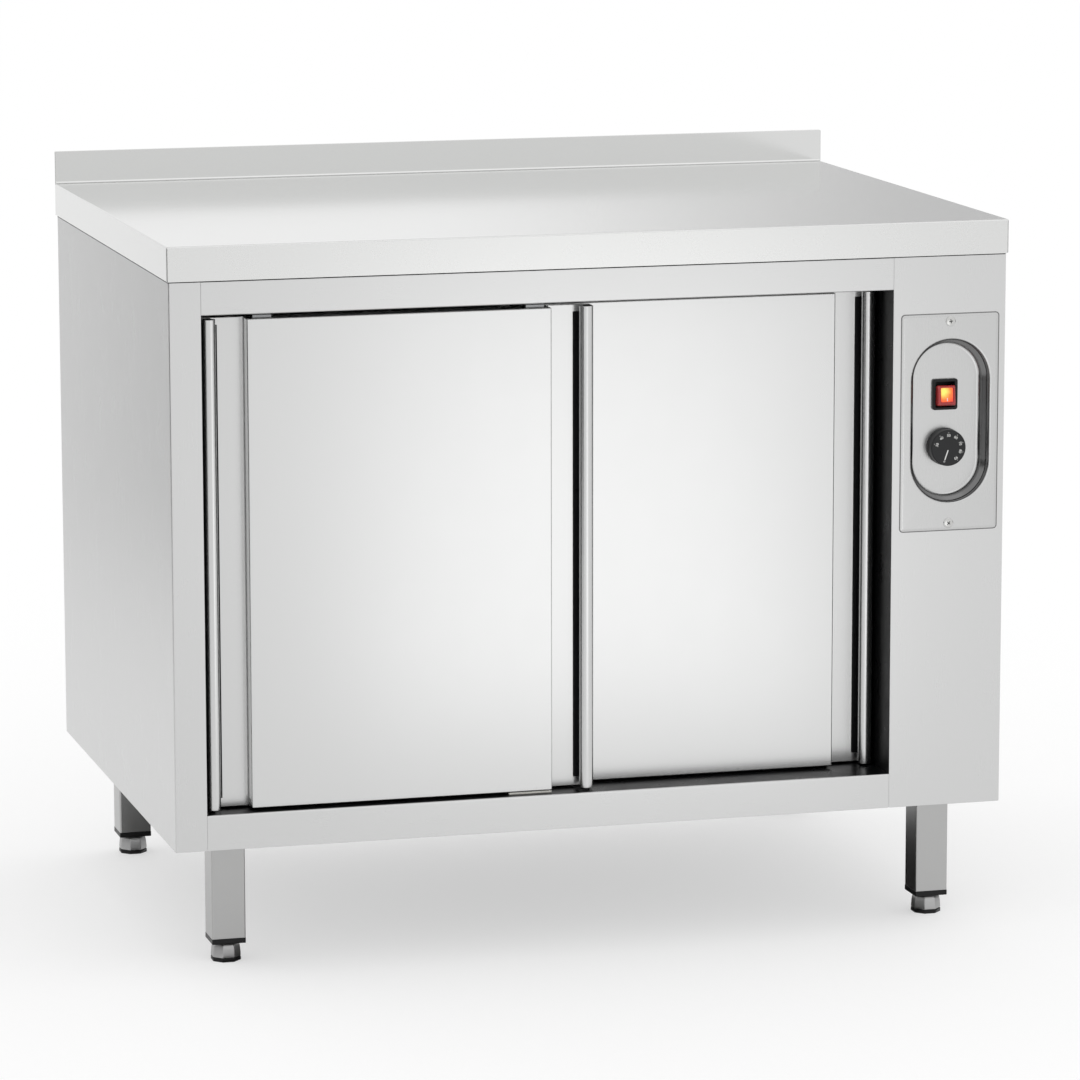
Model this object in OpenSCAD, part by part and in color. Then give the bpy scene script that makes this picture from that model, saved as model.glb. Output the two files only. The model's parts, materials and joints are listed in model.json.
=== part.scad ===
// Heated plate cabinet: a stainless steel cupboard with two sliding doors,
// a control section at the right and a worktop with a rear upstand.
// Millimetres. Origin at the centre of the footprint, on the floor.
// +X is right as seen from the front, -Y is the front, +Z is up.

/* [Overall size] */
// Width of the worktop, left to right
cabinet_w = 1000; // [850:10:1400]
// Depth of the worktop, front to back
cabinet_d = 700; // [600:10:850]
// Height of the worktop's upper face above the floor
worktop_h = 850; // [800:5:1000]
// Height of the rear upstand above the worktop
upstand_h = 40; // [20:5:100]
// Clear height under the body
clear_h = 155; // [125:5:200]

/* [Worktop] */
// Height of the worktop's folded edge
edge_h = 40; // [30:1:60]
// Thickness of the worktop sheet
top_t = 1.5; // [1:0.1:2]
// Thickness of the hemmed upstand
upstand_t = 3; // [2:0.5:6]
// Width of the fold under the worktop's edge
edge_return = 14; // [8:1:20]
// Overhang of the worktop past the body at each side
side_overhang = 2; // [1:0.5:8]
// Overhang of the worktop past the body at front and back
front_overhang = 3; // [3:0.5:8]
// Width of a stiffening channel under the worktop
stiffener_w = 90; // [60:5:140]

/* [Body] */
// Thickness of the body sheets
sheet_t = 1; // [0.8:0.1:1.2]
// Width of the left front post
post_w = 37.2; // [30:0.2:60]
// Width of the control section
control_w = 138; // [130:1:180]
// Height of the front frame's top rail
top_rail_h = 39.3; // [39:0.1:60]
// Height of the front frame's bottom rail
bottom_rail_h = 41; // [38:0.5:60]
// Depth of the door bay, from the front face to the cavity
bay_d = 85; // [84:1:120]
// Distance between the inner and the outer back wall
back_gap = 36; // [25:1:60]
// Width of the folded flanges
flange_w = 15; // [10:1:20]
// Height of the base pan's upturned edge
base_flange_h = 18; // [12:1:25]
// Number of ventilation slots in the back of the control section
vent_count = 8; // [4:1:12]

/* [Doors] */
// Thickness of a door
door_t = 24; // [22:0.5:28]
// Distance of the front door behind the front face
door_setback = 12; // [10:0.5:20]
// Distance from the front door's plane to the rear door's plane
door_pitch = 36; // [34:0.5:45]
// Gap between a closed door and its jamb
door_side_gap = 4; // [2:0.5:6]
// Gap between a door's top and the top rail
door_top_gap = 6.7; // [5:0.1:10]
// Gap between a door's bottom and the sill
door_bottom_gap = 2.5; // [2.2:0.1:5]
// Width in which the closed doors cover each other
door_overlap = 104.2; // [60:0.2:140]
// Width of a door's grip and finger channel together
handle_w = 51; // [44:1:60]
// Width of a grip bar
grip_w = 16; // [14:0.5:20]
// Depth of the finger channel
channel_d = 20; // [17:0.5:20.5]
// Wall of the grip profile
profile_t = 1.4; // [1:0.1:2]
// Gap between the finger channel and the door's main panel
panel_gap = 4; // [2:0.5:6]

/* [Door running gear] */
// Radius of a door roller
roller_r = 11; // [9:0.5:12]
// Width of one wheel of a roller
roller_w = 8; // [6:0.5:9]
// Radius of a roller axle
axle_r = 2.5; // [2:0.1:3]
// Radial clearance between an axle and its wheel
axle_gap = 0.05; // [0.02:0.01:0.1]
// Wall of the door track
track_t = 1.5; // [1:0.1:2]
// Width of the slot in the track
track_slot_w = 8; // [7:0.5:10]
// Width of a hanger
hanger_w = 22; // [18:1:30]
// Distance of a hanger's centre from the end of the main panel
hanger_inset = 18.5; // [15:0.5:60]
// Thickness of a hanger's plate
hanger_t = 3; // [2:0.5:4]
// Length of the bottom guide
guide_len = 51; // [30:1:80]
// Distance of the bottom guide's centre left of the opening's centre
guide_offset = 25; // [0:1:40]
// Height of the guide's tongue above the sill
guide_h = 10; // [7:0.5:12]

/* [Legs] */
// Side of the square leg tube
leg_w = 40; // [35:1:50]
// Wall of the leg tube
leg_t = 1.5; // [1:0.1:2.5]
// Distance of the left legs from the body's left side
leg_inset_left = 58; // [30:1:80]
// Distance of the right legs from the body's right side
leg_inset_right = 34; // [27:1:80]
// Distance of the front legs from the body's front
leg_inset_front = 82; // [10:1:100]
// Distance of the rear legs from the body's back
leg_inset_rear = 6; // [6:1:80]
// Height of the foot under the leg cap
foot_h = 23; // [20:1:35]
// Height of the cap that shows under the leg tube
cap_h = 6.3; // [4:0.1:10]
// Width across flats of the foot's base
foot_w = 33; // [28:1:38]
// Radius of the foot's threaded stud
stud_r = 5; // [4:0.5:6]
// Travel of the foot out of the leg
foot_travel = 30; // [15:1:35]

/* [Controls] */
// Width of the control plate
plate_w = 120; // [112:1:130]
// Height of the control plate
plate_h = 256.4; // [240:0.2:280]
// Height of the control plate's centre above the body's underside
plate_z = 458; // [300:1:480]
// Thickness of the control plate
plate_t = 1.2; // [1:0.1:1.5]
// Width of the recess at its rim
recess_w = 97; // [90:1:100]
// Height of the recess at its rim
recess_h = 194; // [180:1:205]
// Depth of the recess
recess_d = 19; // [15:0.5:19]
// Inward lean of the recess wall
recess_lean = 7.5; // [2:0.5:9]
// Diameter of the knob
knob_dia = 44; // [36:1:50]
// Height of the knob
knob_h = 14.2; // [10:0.2:16]
// Distance of the knob's centre below the recess centre
knob_drop = 33; // [30:0.5:45]
// Distance of the switch's centre above the recess centre
switch_rise = 29; // [25:0.5:45]
// Width of the switch bezel
bezel_w = 31; // [28:0.5:34]
// Height of the switch bezel
bezel_h = 36.5; // [34:0.5:40]
// Width of the rocker
rocker_w = 22.5; // [20:0.5:24]
// Height of the rocker
rocker_h = 26; // [22:0.5:27]
// Tilt of the rocker to each side
rocker_tilt = 7; // [4:0.5:9]
// Radius of the thermostat's spindle
spindle_r = 3; // [2.5:0.1:4]

/* [Heating] */
// Height of the shelf's upper face above the cavity floor
shelf_z = 304; // [280:1:400]
// Depth of the shelf
shelf_d = 500; // [300:10:540]
// Height of the shelf's folded edge
shelf_edge_h = 25; // [15:1:35]
// Height of the fan's centre above the cavity floor
fan_z = 134; // [130:1:150]
// Distance of the fan's centre behind the cabinet's middle
fan_y = 60; // [0:1:120]
// Radius of the fan wheel
fan_r = 62; // [45:1:70]
// Radius of the heating ring
heater_r = 85; // [78:1:92]
// Radius of the heating tube
heater_tube_r = 3.25; // [3:0.25:4]
// Side of the fan cover
cover_w = 230; // [210:1:240]
// Depth of the fan cover
cover_d = 60; // [55:1:80]
// Number of blades on the fan wheel
blade_count = 16; // [8:1:24]

/* [Hidden] */
$fn = 48;

// Clearance between pieces that move past each other
run_gap = 0.3;
// Clearance between pieces that are slid together
slip = 0.2;
// Length by which a cutter passes the face that it cuts
past = 1;

// Body box
x_left = -cabinet_w / 2 + side_overhang;
x_right = -x_left;
y_front = -cabinet_d / 2 + front_overhang;
y_back = -y_front;
z_under = clear_h;
z_top = worktop_h - edge_h;

// Door opening
open_x0 = x_left + post_w;
open_x1 = x_right - control_w;
open_z0 = z_under + bottom_rail_h;
open_z1 = z_top - top_rail_h;
open_mid = (open_x0 + open_x1) / 2;
open_w = open_x1 - open_x0;

// Cavity
y_bay = y_front + bay_d;
y_inner = y_back - back_gap;

// Doors
door_w = (open_w - 2 * door_side_gap + door_overlap) / 2;
door_z0 = open_z0 + door_bottom_gap;
door_z1 = open_z1 - door_top_gap;
door_travel = open_w - 2 * door_side_gap - door_w;
left_door_x = open_x0 + door_side_gap;
right_door_x = open_x1 - door_side_gap - door_w;
left_door_y = y_front + door_setback;
right_door_y = left_door_y + door_pitch;
skin_y = door_t - sheet_t;
echo(door_w = door_w, door_travel = door_travel);

// Door grip profile
grip_nose_r = 7;
grip_edge_r = 2.5;
grip_neck_w = 11.5;
grip_lip_d = 9;
notch_h = guide_h + 2;
notch_w = 6;

// Running gear
track_inner_w = 26;
track_z0 = open_z1 + sheet_t;
track_z1 = z_top - sheet_t;
axle_z = track_z0 + track_t + run_gap + roller_r;
wheel_offset = 3;
axle_len = track_inner_w - 1.4;
collar_r = 4;
collar_t = 0.8;
guide_tongue_w = 4;
guide_base_gap = 0.4;

// Legs and feet
leg_xs = [x_left + leg_inset_left + leg_w / 2, x_right - leg_inset_right - leg_w / 2];
leg_ys = [y_front + leg_inset_front + leg_w / 2, y_back - leg_inset_rear - leg_w / 2];
leg_plate_t = 4;
leg_plate_w = 90;
leg_plate_d = 48;
leg_z0 = foot_h + cap_h;
leg_z1 = z_under - leg_plate_t;
bolt_dx = 34;
bolt_dy = 14;
bolt_r = 4;
bolt_hole_r = 4.2;
bolt_head_r = 6.5;
bolt_head_h = 5;
bolt_top = 6;
plug_h = 20;
pad_h = 4.8;
stud_top = foot_h + cap_h + plug_h + foot_travel + 4;

// Control plate
plate_x = (open_x1 + x_right) / 2 + 1;
plate_zc = z_under + plate_z;
plate_y = y_front - plate_t;
recess_x = plate_x + 1;
recess_zc = plate_zc + 1.8;
recess_straight = recess_h - recess_w;
floor_y = plate_y + recess_d;
floor_back_y = floor_y + plate_t;
knob_z = recess_zc - knob_drop;
switch_z = recess_zc + switch_rise;
plate_screw_dz = 119.4;
plate_screw_r = 2;
bush_r = 5;
bush_front = 0.2;
spindle_depth = 16;
knob_gap = 0.8;
thermostat_w = 42;
thermostat_d = 28;
switch_body_w = 27;
switch_body_h = 31;
switch_body_d = 25;
bezel_d = 3;
well_w = rocker_w + 1.1;
well_h = rocker_h + 4;
pivot_y = floor_y + 2;
pivot_r = 1.5;
pin_len = 0.9;
rocker_out = 9;

// Heating unit on the right wall
fan_zc = open_z0 + fan_z;
wheel_x0 = open_x1 - 36;
shaft_r = 4;
motor_x0 = open_x1 + sheet_t;
motor_r = 32;
motor_len = 56;
cold_end_r = 4.5;
cold_end_out = 14;
heater_gap_deg = 20;
ring_inset = 22;
shelf_back_gap = 5;
bulb_r = 3;
bulb_len = 90;
bulb_x = open_x1 - slip - bulb_r;
bulb_y0 = y_bay + 62;
bulb_z = open_z1 - 70;
capillary_y = bulb_y0 - 15;
capillary_r = 1;

// Supply
terminal_w = 64;
terminal_d = 24;
terminal_h = 24;
terminal_x = (open_x1 + x_right) / 2 - 10;
terminal_y = fan_y + 100;
terminal_z0 = z_under + sheet_t;
gland_x = terminal_x;
gland_y = terminal_y + 45;
gland_bore_r = 5;
gland_thread_r = 10;
wire_r = 1.6;

steel = [0.80, 0.81, 0.81];
steel_dark = [0.62, 0.63, 0.64];
zinc = [0.68, 0.69, 0.70];
black = [0.07, 0.07, 0.07];
red = [0.80, 0.12, 0.08];
wool = [0.78, 0.72, 0.45];
nylon = [0.88, 0.87, 0.83];

// Block between two values on each axis
module span(x, y, z) {
    translate([x[0], y[0], z[0]])
        cube([x[1] - x[0], y[1] - y[0], z[1] - z[0]]);
}

// Cylinder that starts at a point and runs along +Y
module rod_y(at, r, len) {
    translate(at)
        rotate([-90, 0, 0])
            cylinder(r = r, h = len);
}

// Cylinder that starts at a point and runs along +X
module rod_x(at, r, len) {
    translate(at)
        rotate([0, 90, 0])
            cylinder(r = r, h = len);
}

// Points of an arc
function arc(centre, r, from, to, steps) = [
    for (i = [0 : steps])
        let (a = from + (to - from) * i / steps)
            [centre[0] + r * cos(a), centre[1] + r * sin(a)]
];

// Rectangle with round corners, centred
module round_rect(w, h, r) {
    square([w - 2 * r, h], center = true);
    square([w, h - 2 * r], center = true);
    for (sx = [-1, 1])
        for (sy = [-1, 1])
            translate([sx * (w / 2 - r), sy * (h / 2 - r)])
                circle(r = r);
}

// Round-cornered slab in the XZ plane, from y to y + t
module slab_y(x, z, w, h, r, y, t) {
    translate([x, y + t, z])
        rotate([90, 0, 0])
            linear_extrude(height = t)
                round_rect(w, h, r);
}

// Tube with square corners along a list of points
function unit(v) = v / norm(v);
function ring_at(points, i, r, sides) =
    let (last = len(points) - 1)
    let (before = i == 0 ? points[1] - points[0] : points[i] - points[i - 1])
    let (after = i == last ? points[last] - points[last - 1] : points[i + 1] - points[i])
    let (d0 = unit(before))
    let (d1 = unit(after))
    let (u = abs(d0[2]) > 0.9 ? [1, 0, 0] : [0, 0, 1])
    let (n = unit(d0 + d1))
    let (a = unit(cross(d0, u)))
    let (b = cross(d0, a))
    [for (k = [0 : sides - 1])
        let (t = 360 * k / sides)
        let (p = r * (cos(t) * a + sin(t) * b))
            points[i] + p - d0 * (p * n) / (d0 * n)];

// Frame of the first ring, carried along the corners of the route
function carried(points, i, ring) =
    i >= len(points) ? [] :
    let (last = len(points) - 1)
    let (d0 = unit(points[i] - points[i - 1]))
    let (d1 = i == last ? d0 : unit(points[i + 1] - points[i]))
    let (n = unit(d0 + d1))
    let (next = [for (q = ring)
        let (s = ((points[i] - q) * n) / (d0 * n))
            q + s * d0])
    concat([next], carried(points, i + 1, next));

module tube_along(points, r, sides) {
    first = ring_at(points, 0, r, sides);
    rings = concat([first], carried(points, 1, first));
    count = len(rings);
    verts = [for (ring = rings) for (q = ring) q];
    walls = [for (i = [0 : count - 2]) for (k = [0 : sides - 1])
        let (k1 = (k + 1) % sides)
            [i * sides + k, (i + 1) * sides + k, (i + 1) * sides + k1, i * sides + k1]];
    start_cap = [[for (k = [0 : sides - 1]) k]];
    end_cap = [[for (k = [sides - 1 : -1 : 0]) (count - 1) * sides + k]];
    polyhedron(points = verts, faces = concat(start_cap, walls, end_cap));
}

// Worktop folded from one sheet, with the hemmed upstand at the back
module worktop() {
    hw = cabinet_w / 2;
    hd = cabinet_d / 2;
    color(steel)
        union() {
            difference() {
                span([-hw, hw], [-hd, hd], [z_top, worktop_h]);
                span([-hw + top_t, hw - top_t], [-hd + top_t, hd - top_t],
                     [z_top + top_t, worktop_h - top_t]);
                span([-hw + edge_return, hw - edge_return], [-hd + edge_return, hd - edge_return],
                     [z_top - past, worktop_h - top_t]);
            }
            span([-hw, hw], [hd - upstand_t, hd], [worktop_h - top_t, worktop_h + upstand_h]);
        }
}

// Two hat channels that stiffen the worktop from below
module worktop_stiffeners() {
    end_gap = 10;
    lip = 15;
    len_x = cabinet_w - 2 * top_t - 2 * end_gap;
    z0 = z_top + top_t + slip;
    z1 = worktop_h - top_t;
    color(steel_dark)
        for (side = [-1, 1])
            translate([0, side * cabinet_d / 4, 0])
                difference() {
                    union() {
                        span([-len_x / 2, len_x / 2], [-stiffener_w / 2, stiffener_w / 2], [z0, z1]);
                        span([-len_x / 2, len_x / 2], [-stiffener_w / 2 - lip, stiffener_w / 2 + lip],
                             [z1 - sheet_t, z1]);
                    }
                    span([-len_x / 2 - past, len_x / 2 + past],
                         [-stiffener_w / 2 + sheet_t, stiffener_w / 2 - sheet_t],
                         [z0 + sheet_t, z1 + past]);
                }
}

// Left side, folded round the front post and into the jamb
module side_panel_left() {
    color(steel)
        union() {
            span([x_left, x_left + sheet_t], [y_front, y_back], [z_under, z_top]);
            span([x_left, open_x0], [y_front, y_front + sheet_t], [z_under, z_top]);
            span([open_x0 - sheet_t, open_x0], [y_front, y_bay], [z_under + base_flange_h, z_top]);
            span([x_left, x_left + flange_w], [y_front, y_back - sheet_t], [z_top - sheet_t, z_top]);
        }
}

module side_panel_right() {
    color(steel)
        union() {
            span([x_right - sheet_t, x_right], [y_front + sheet_t, y_back], [z_under, z_top]);
            span([x_right - flange_w, x_right], [y_front + flange_w, y_back - sheet_t],
                 [z_top - sheet_t, z_top]);
        }
}

// Back sheet with folded edges and the control section's ventilation slots
module back_panel() {
    x0 = x_left + sheet_t;
    x1 = x_right - sheet_t;
    slot_h = 3.5;
    slot_w = control_w / 2;
    slot_pitch = 12;
    slot_z0 = open_z0 + 60;
    color(steel)
        difference() {
            union() {
                span([x0, x1], [y_back - sheet_t, y_back], [z_under, z_top]);
                span([x_left + flange_w, x_right - flange_w], [y_back - flange_w, y_back],
                     [z_top - sheet_t, z_top]);
                span([x0, x0 + sheet_t], [y_back - flange_w, y_back],
                     [z_under + base_flange_h, z_top - sheet_t]);
                span([x1 - sheet_t, x1], [y_back - flange_w, y_back],
                     [z_under + base_flange_h, z_top - sheet_t]);
            }
            for (i = [0 : vent_count - 1])
                translate([plate_x - slot_w / 2, y_back - 2 * sheet_t, slot_z0 + i * slot_pitch])
                    cube([slot_w, 3 * sheet_t, slot_h]);
        }
}

// Bottom pan with upturned edges, which carries the legs
module base_pan() {
    x0 = x_left + sheet_t;
    x1 = x_right - sheet_t;
    y0 = y_front + sheet_t;
    y1 = y_back - sheet_t;
    color(steel)
        difference() {
            span([x0, x1], [y0, y1], [z_under, z_under + base_flange_h]);
            span([x0 + sheet_t, x1 - sheet_t], [y0 + sheet_t, y1 - sheet_t],
                 [z_under + sheet_t, z_under + base_flange_h + past]);
            bolt_places()
                translate([0, 0, z_under - past])
                    cylinder(r = bolt_hole_r, h = sheet_t + 2 * past);
            translate([gland_x, gland_y, z_under - past])
                cylinder(r = gland_thread_r + slip, h = sheet_t + 2 * past);
        }
}

// Top rail of the front frame, folded back over the door track
module top_rail() {
    color(steel)
        union() {
            span([open_x0, open_x1], [y_front, y_front + sheet_t], [open_z1, z_top]);
            span([open_x0, open_x1], [y_front, y_front + door_setback / 2],
                 [open_z1, open_z1 + sheet_t]);
            span([open_x0, open_x1], [y_front, y_bay + flange_w], [z_top - sheet_t, z_top]);
        }
}

// Bottom rail of the front frame, folded back as the sill under the doors
module bottom_rail() {
    color(steel)
        union() {
            span([open_x0, open_x1], [y_front, y_front + sheet_t], [z_under, open_z0]);
            span([open_x0, open_x1], [y_front, y_bay], [open_z0 - sheet_t, open_z0]);
            span([open_x0, open_x1], [y_bay - sheet_t, y_bay], [open_z0 - flange_w, open_z0]);
        }
}

// Front of the control section with its jamb and the hole behind the plate
module control_front_panel() {
    hole_gap = 1;
    hole_r = 12;
    hole_w = recess_w + 2 * plate_t + 2 * hole_gap;
    hole_h = recess_h + 2 * plate_t + 2 * hole_gap;
    z_fold = z_under + base_flange_h;
    color(steel)
        difference() {
            union() {
                span([open_x1, x_right], [y_front, y_front + sheet_t], [z_under, z_top]);
                span([open_x1, open_x1 + sheet_t], [y_front, y_bay], [z_fold, z_top]);
                span([x_right - 2 * sheet_t, x_right - sheet_t], [y_front, y_front + flange_w],
                     [z_fold, z_top]);
                span([open_x1, x_right - 2 * sheet_t], [y_front, y_front + flange_w],
                     [z_top - sheet_t, z_top]);
            }
            slab_y(recess_x, recess_zc, hole_w, hole_h, hole_r, y_front - past, sheet_t + 2 * past);
            plate_screw_places()
                rod_y([0, y_front - past, 0], plate_screw_r + slip, sheet_t + 2 * past);
        }
}

module inner_wall_left() {
    color(steel)
        span([open_x0 - sheet_t, open_x0], [y_bay, y_inner + sheet_t],
             [open_z0 - sheet_t, open_z1 + sheet_t]);
}

// Wall between the cavity and the control section
module inner_wall_right() {
    shaft_gap = 2;
    color(steel)
        difference() {
            span([open_x1, open_x1 + sheet_t], [y_bay, y_back - 2 * sheet_t],
                 [z_under + sheet_t, z_top - sheet_t]);
            rod_x([open_x1 - past, fan_y, fan_zc], shaft_r + shaft_gap, sheet_t + 2 * past);
            heater_end_places()
                rod_x([open_x1 - past, 0, 0], cold_end_r + slip, sheet_t + 2 * past);
            rod_x([open_x1 - past, capillary_y, bulb_z], capillary_r + slip, sheet_t + 2 * past);
        }
}

module inner_wall_back() {
    color(steel)
        span([open_x0, open_x1], [y_inner, y_inner + sheet_t],
             [open_z0 - sheet_t, open_z1 + sheet_t]);
}

module cavity_floor() {
    color(steel)
        span([open_x0, open_x1], [y_bay, y_inner], [open_z0 - sheet_t, open_z0]);
}

// Ceiling of the cavity, turned up behind the door track
module cavity_ceiling() {
    color(steel)
        union() {
            span([open_x0, open_x1], [y_bay, y_inner], [open_z1, open_z1 + sheet_t]);
            span([open_x0, open_x1], [y_bay, y_bay + sheet_t], [open_z1, z_top - sheet_t]);
        }
}

// Mineral wool between the inner and the outer walls
module insulation_slabs() {
    gap = 0.5;
    top_gap = 3;
    bolt_gap = 4;
    z_low = z_under + base_flange_h + gap;
    z_high = z_top - top_gap;
    color(wool) {
        span([x_left + sheet_t + gap, open_x0 - sheet_t - gap], [y_bay + gap, y_back - flange_w - gap],
             [z_low, z_high]);
        span([open_x0, open_x1 - gap], [y_inner + sheet_t + gap, y_back - 2 * sheet_t - gap],
             [z_low, z_high]);
        span([open_x0 + gap, open_x1 - gap], [y_bay + sheet_t + gap, y_inner - gap],
             [open_z1 + sheet_t + gap, z_high]);
        span([open_x0 + gap, open_x1 - gap], [y_bay + gap, y_inner - gap],
             [z_under + bolt_top + bolt_gap, open_z0 - sheet_t - gap]);
    }
}

// Double door track, open below through one slot for each door
module door_track() {
    y_front_door = left_door_y + door_t / 2;
    half = track_inner_w / 2;
    y0 = y_front_door - half - track_t;
    y1 = y_front_door + door_pitch + half + track_t;
    color(steel_dark)
        difference() {
            union() {
                span([open_x0, open_x1], [y0, y1], [track_z1 - track_t, track_z1]);
                for (i = [0, 1])
                    translate([0, y_front_door + i * door_pitch, 0])
                        span([open_x0, open_x1], [-half - track_t, half + track_t],
                             [track_z0, track_z1]);
            }
            for (i = [0, 1])
                translate([0, y_front_door + i * door_pitch, 0]) {
                    span([open_x0 - past, open_x1 + past], [-half, half],
                         [track_z0 + track_t, track_z1 - track_t]);
                    span([open_x0 - past, open_x1 + past], [-track_slot_w / 2, track_slot_w / 2],
                         [track_z0 - past, track_z1 - 2 * track_t]);
                }
        }
}

// One guide under each door, with a tongue that runs in the door's groove
module door_guides() {
    x0 = open_mid - guide_offset - guide_len / 2;
    x1 = x0 + guide_len;
    half = door_t / 2 - 1;
    color(nylon)
        for (y = [left_door_y, right_door_y])
            translate([0, y + door_t / 2, 0]) {
                span([x0, x1], [-half, half], [open_z0, door_z0 - guide_base_gap]);
                span([x0, x1], [-guide_tongue_w / 2, guide_tongue_w / 2],
                     [open_z0, open_z0 + guide_h]);
            }
}

// Loose shelf with its edges folded down
module shelf() {
    side_gap = 2.5;
    x0 = open_x0 + side_gap;
    x1 = open_x1 - side_gap;
    y1 = y_inner - shelf_back_gap;
    y0 = y1 - shelf_d;
    z1 = open_z0 + shelf_z;
    color(steel)
        difference() {
            span([x0, x1], [y0, y1], [z1 - shelf_edge_h, z1]);
            span([x0 + sheet_t, x1 - sheet_t], [y0 + sheet_t, y1 - sheet_t],
                 [z1 - shelf_edge_h - past, z1 - sheet_t]);
        }
}

// Four angle brackets on the side walls, under the shelf's folded edges
module shelf_brackets() {
    z1 = open_z0 + shelf_z - shelf_edge_h;
    leg = 22;
    wide = 30;
    plate = 2;
    y_mid = y_inner - shelf_back_gap - shelf_d / 2;
    color(steel_dark)
        for (dy = [-1, 1])
            for (side = [0, 1])
                translate([side == 0 ? open_x0 : open_x1, y_mid + dy * shelf_d / 3, z1])
                    mirror([side, 0, 0])
                        union() {
                            span([0, leg], [-wide / 2, wide / 2], [-plate, 0]);
                            span([0, plate], [-wide / 2, wide / 2], [-leg - plate, 0]);
                        }
}

// Places of the heater's two cold ends in the right wall
module heater_end_places() {
    for (side = [-1, 1])
        translate([0, fan_y + heater_r * sin(side * heater_gap_deg),
                   fan_zc + heater_r * cos(heater_gap_deg)])
            children();
}

// Ring of heating tube round the fan wheel, with two ends through the wall
module heater_element() {
    ring_x = open_x1 - ring_inset;
    color([0.35, 0.33, 0.31])
        union() {
            translate([ring_x, fan_y, fan_zc])
                rotate([0, -90, 0])
                    rotate([0, 0, heater_gap_deg])
                        rotate_extrude(angle = 360 - 2 * heater_gap_deg)
                            translate([heater_r, 0])
                                circle(r = heater_tube_r);
            heater_end_places()
                rod_x([ring_x - cold_end_r, 0, 0], cold_end_r,
                      open_x1 + cold_end_out - ring_x + cold_end_r);
        }
}

// Fan motor on the control side of the right wall
module fan_motor() {
    flange_r = motor_r + 12;
    flange_t = 3;
    color(steel_dark)
        difference() {
            union() {
                rod_x([motor_x0, fan_y, fan_zc], flange_r, flange_t);
                rod_x([motor_x0, fan_y, fan_zc], motor_r, motor_len);
            }
            rod_x([motor_x0 - past, fan_y, fan_zc], shaft_r + axle_gap, motor_len / 2 + past);
        }
}

// Radial fan wheel with its hub and shaft
module fan_wheel() {
    blade_h = 20;
    blade_len = 20;
    blade_t = 1.5;
    rim = 1;
    disc_t = 2;
    hub_r = 10;
    hub_h = 12;
    nose = 2;
    shaft_end = motor_x0 + motor_len / 2 - 2;
    disc_x = wheel_x0 + blade_h;
    hub_x = disc_x - hub_h;
    color(zinc)
        union() {
            rod_x([disc_x, fan_y, fan_zc], fan_r, disc_t);
            rod_x([hub_x, fan_y, fan_zc], hub_r, hub_h + disc_t / 2);
            rod_x([hub_x - nose, fan_y, fan_zc], shaft_r, shaft_end - hub_x + nose);
            for (i = [0 : blade_count - 1])
                translate([wheel_x0, fan_y, fan_zc])
                    rotate([i * 360 / blade_count, 0, 0])
                        translate([0, fan_r - blade_len - rim, -blade_t / 2])
                            cube([blade_h + disc_t / 2, blade_len, blade_t]);
        }
}

// Slotted cover over the fan and the heating ring
module fan_cover() {
    x0 = open_x1 - cover_d;
    half = cover_w / 2;
    intake_r = fan_r - 10;
    slot = 3.5;
    pitch = 8;
    rows = floor(intake_r / pitch);
    side_slots = 9;
    side_pitch = 18;
    tab = 10;
    sunk = 1;
    color(steel)
        difference() {
            union() {
                translate([0, fan_y, fan_zc])
                    span([x0, open_x1], [-half, half], [-half, half]);
                translate([0, fan_y, fan_zc])
                    span([open_x1 - sheet_t, open_x1], [-half - tab, half + tab],
                         [-half + sunk, half + tab]);
            }
            translate([0, fan_y, fan_zc])
                span([x0 + sheet_t, open_x1 + past], [-half + sheet_t, half - sheet_t],
                     [-half + sheet_t, half - sheet_t]);
            for (i = [-rows : rows])
                let (chord = sqrt(intake_r * intake_r - i * i * pitch * pitch))
                    translate([x0 - past, fan_y - chord, fan_zc + i * pitch - slot / 2])
                        cube([sheet_t + 2 * past, 2 * chord, slot]);
            for (side = [-1, 1])
                for (i = [0 : side_slots - 1])
                    translate([x0 + cover_d / 2, fan_y + side * (half - sheet_t / 2),
                               fan_zc + (i - (side_slots - 1) / 2) * side_pitch])
                        cube([cover_d / 2, 4 * sheet_t, slot], center = true);
        }
}

// Thermostat body behind the recess floor, with its bush through it
module thermostat_body() {
    half = thermostat_w / 2;
    sunk = 1;
    color(nylon)
        difference() {
            union() {
                translate([recess_x, floor_back_y, knob_z])
                    span([-half, half], [0, thermostat_d], [-half, half]);
                rod_y([recess_x, floor_y - bush_front, knob_z], bush_r, plate_t + bush_front + sunk);
            }
            rod_y([recess_x, floor_y - past, knob_z], spindle_r + axle_gap,
                  spindle_depth + 2 + past);
        }
}

// Sensor bulb in the cavity and its capillary back to the thermostat
module thermostat_bulb() {
    y_hole = capillary_y;
    y_body = floor_back_y + thermostat_d / 2;
    x_body = recess_x - thermostat_w / 2;
    x_mid = (open_x1 + x_body) / 2;
    route = [
        [x_body, y_body, knob_z], [x_mid, y_body, knob_z], [x_mid, y_body, bulb_z],
        [x_mid, y_hole, bulb_z], [bulb_x, y_hole, bulb_z], [bulb_x, bulb_y0 + 2, bulb_z]
    ];
    color([0.72, 0.45, 0.25])
        union() {
            rod_y([bulb_x, bulb_y0, bulb_z], bulb_r, bulb_len);
            tube_along(route, capillary_r, 8);
        }
}

// Knob with its spindle
module thermostat_knob() {
    back_y = floor_y - knob_gap;
    chamfer = 1.2;
    sunk = 1;
    color(black)
        union() {
            rod_y([recess_x, back_y - knob_h + chamfer, knob_z], knob_dia / 2, knob_h - chamfer);
            translate([recess_x, back_y - knob_h, knob_z])
                rotate([-90, 0, 0])
                    cylinder(r1 = knob_dia / 2 - chamfer, r2 = knob_dia / 2, h = chamfer);
            rod_y([recess_x, back_y - sunk, knob_z], spindle_r, sunk + knob_gap + spindle_depth);
        }
}

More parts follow.
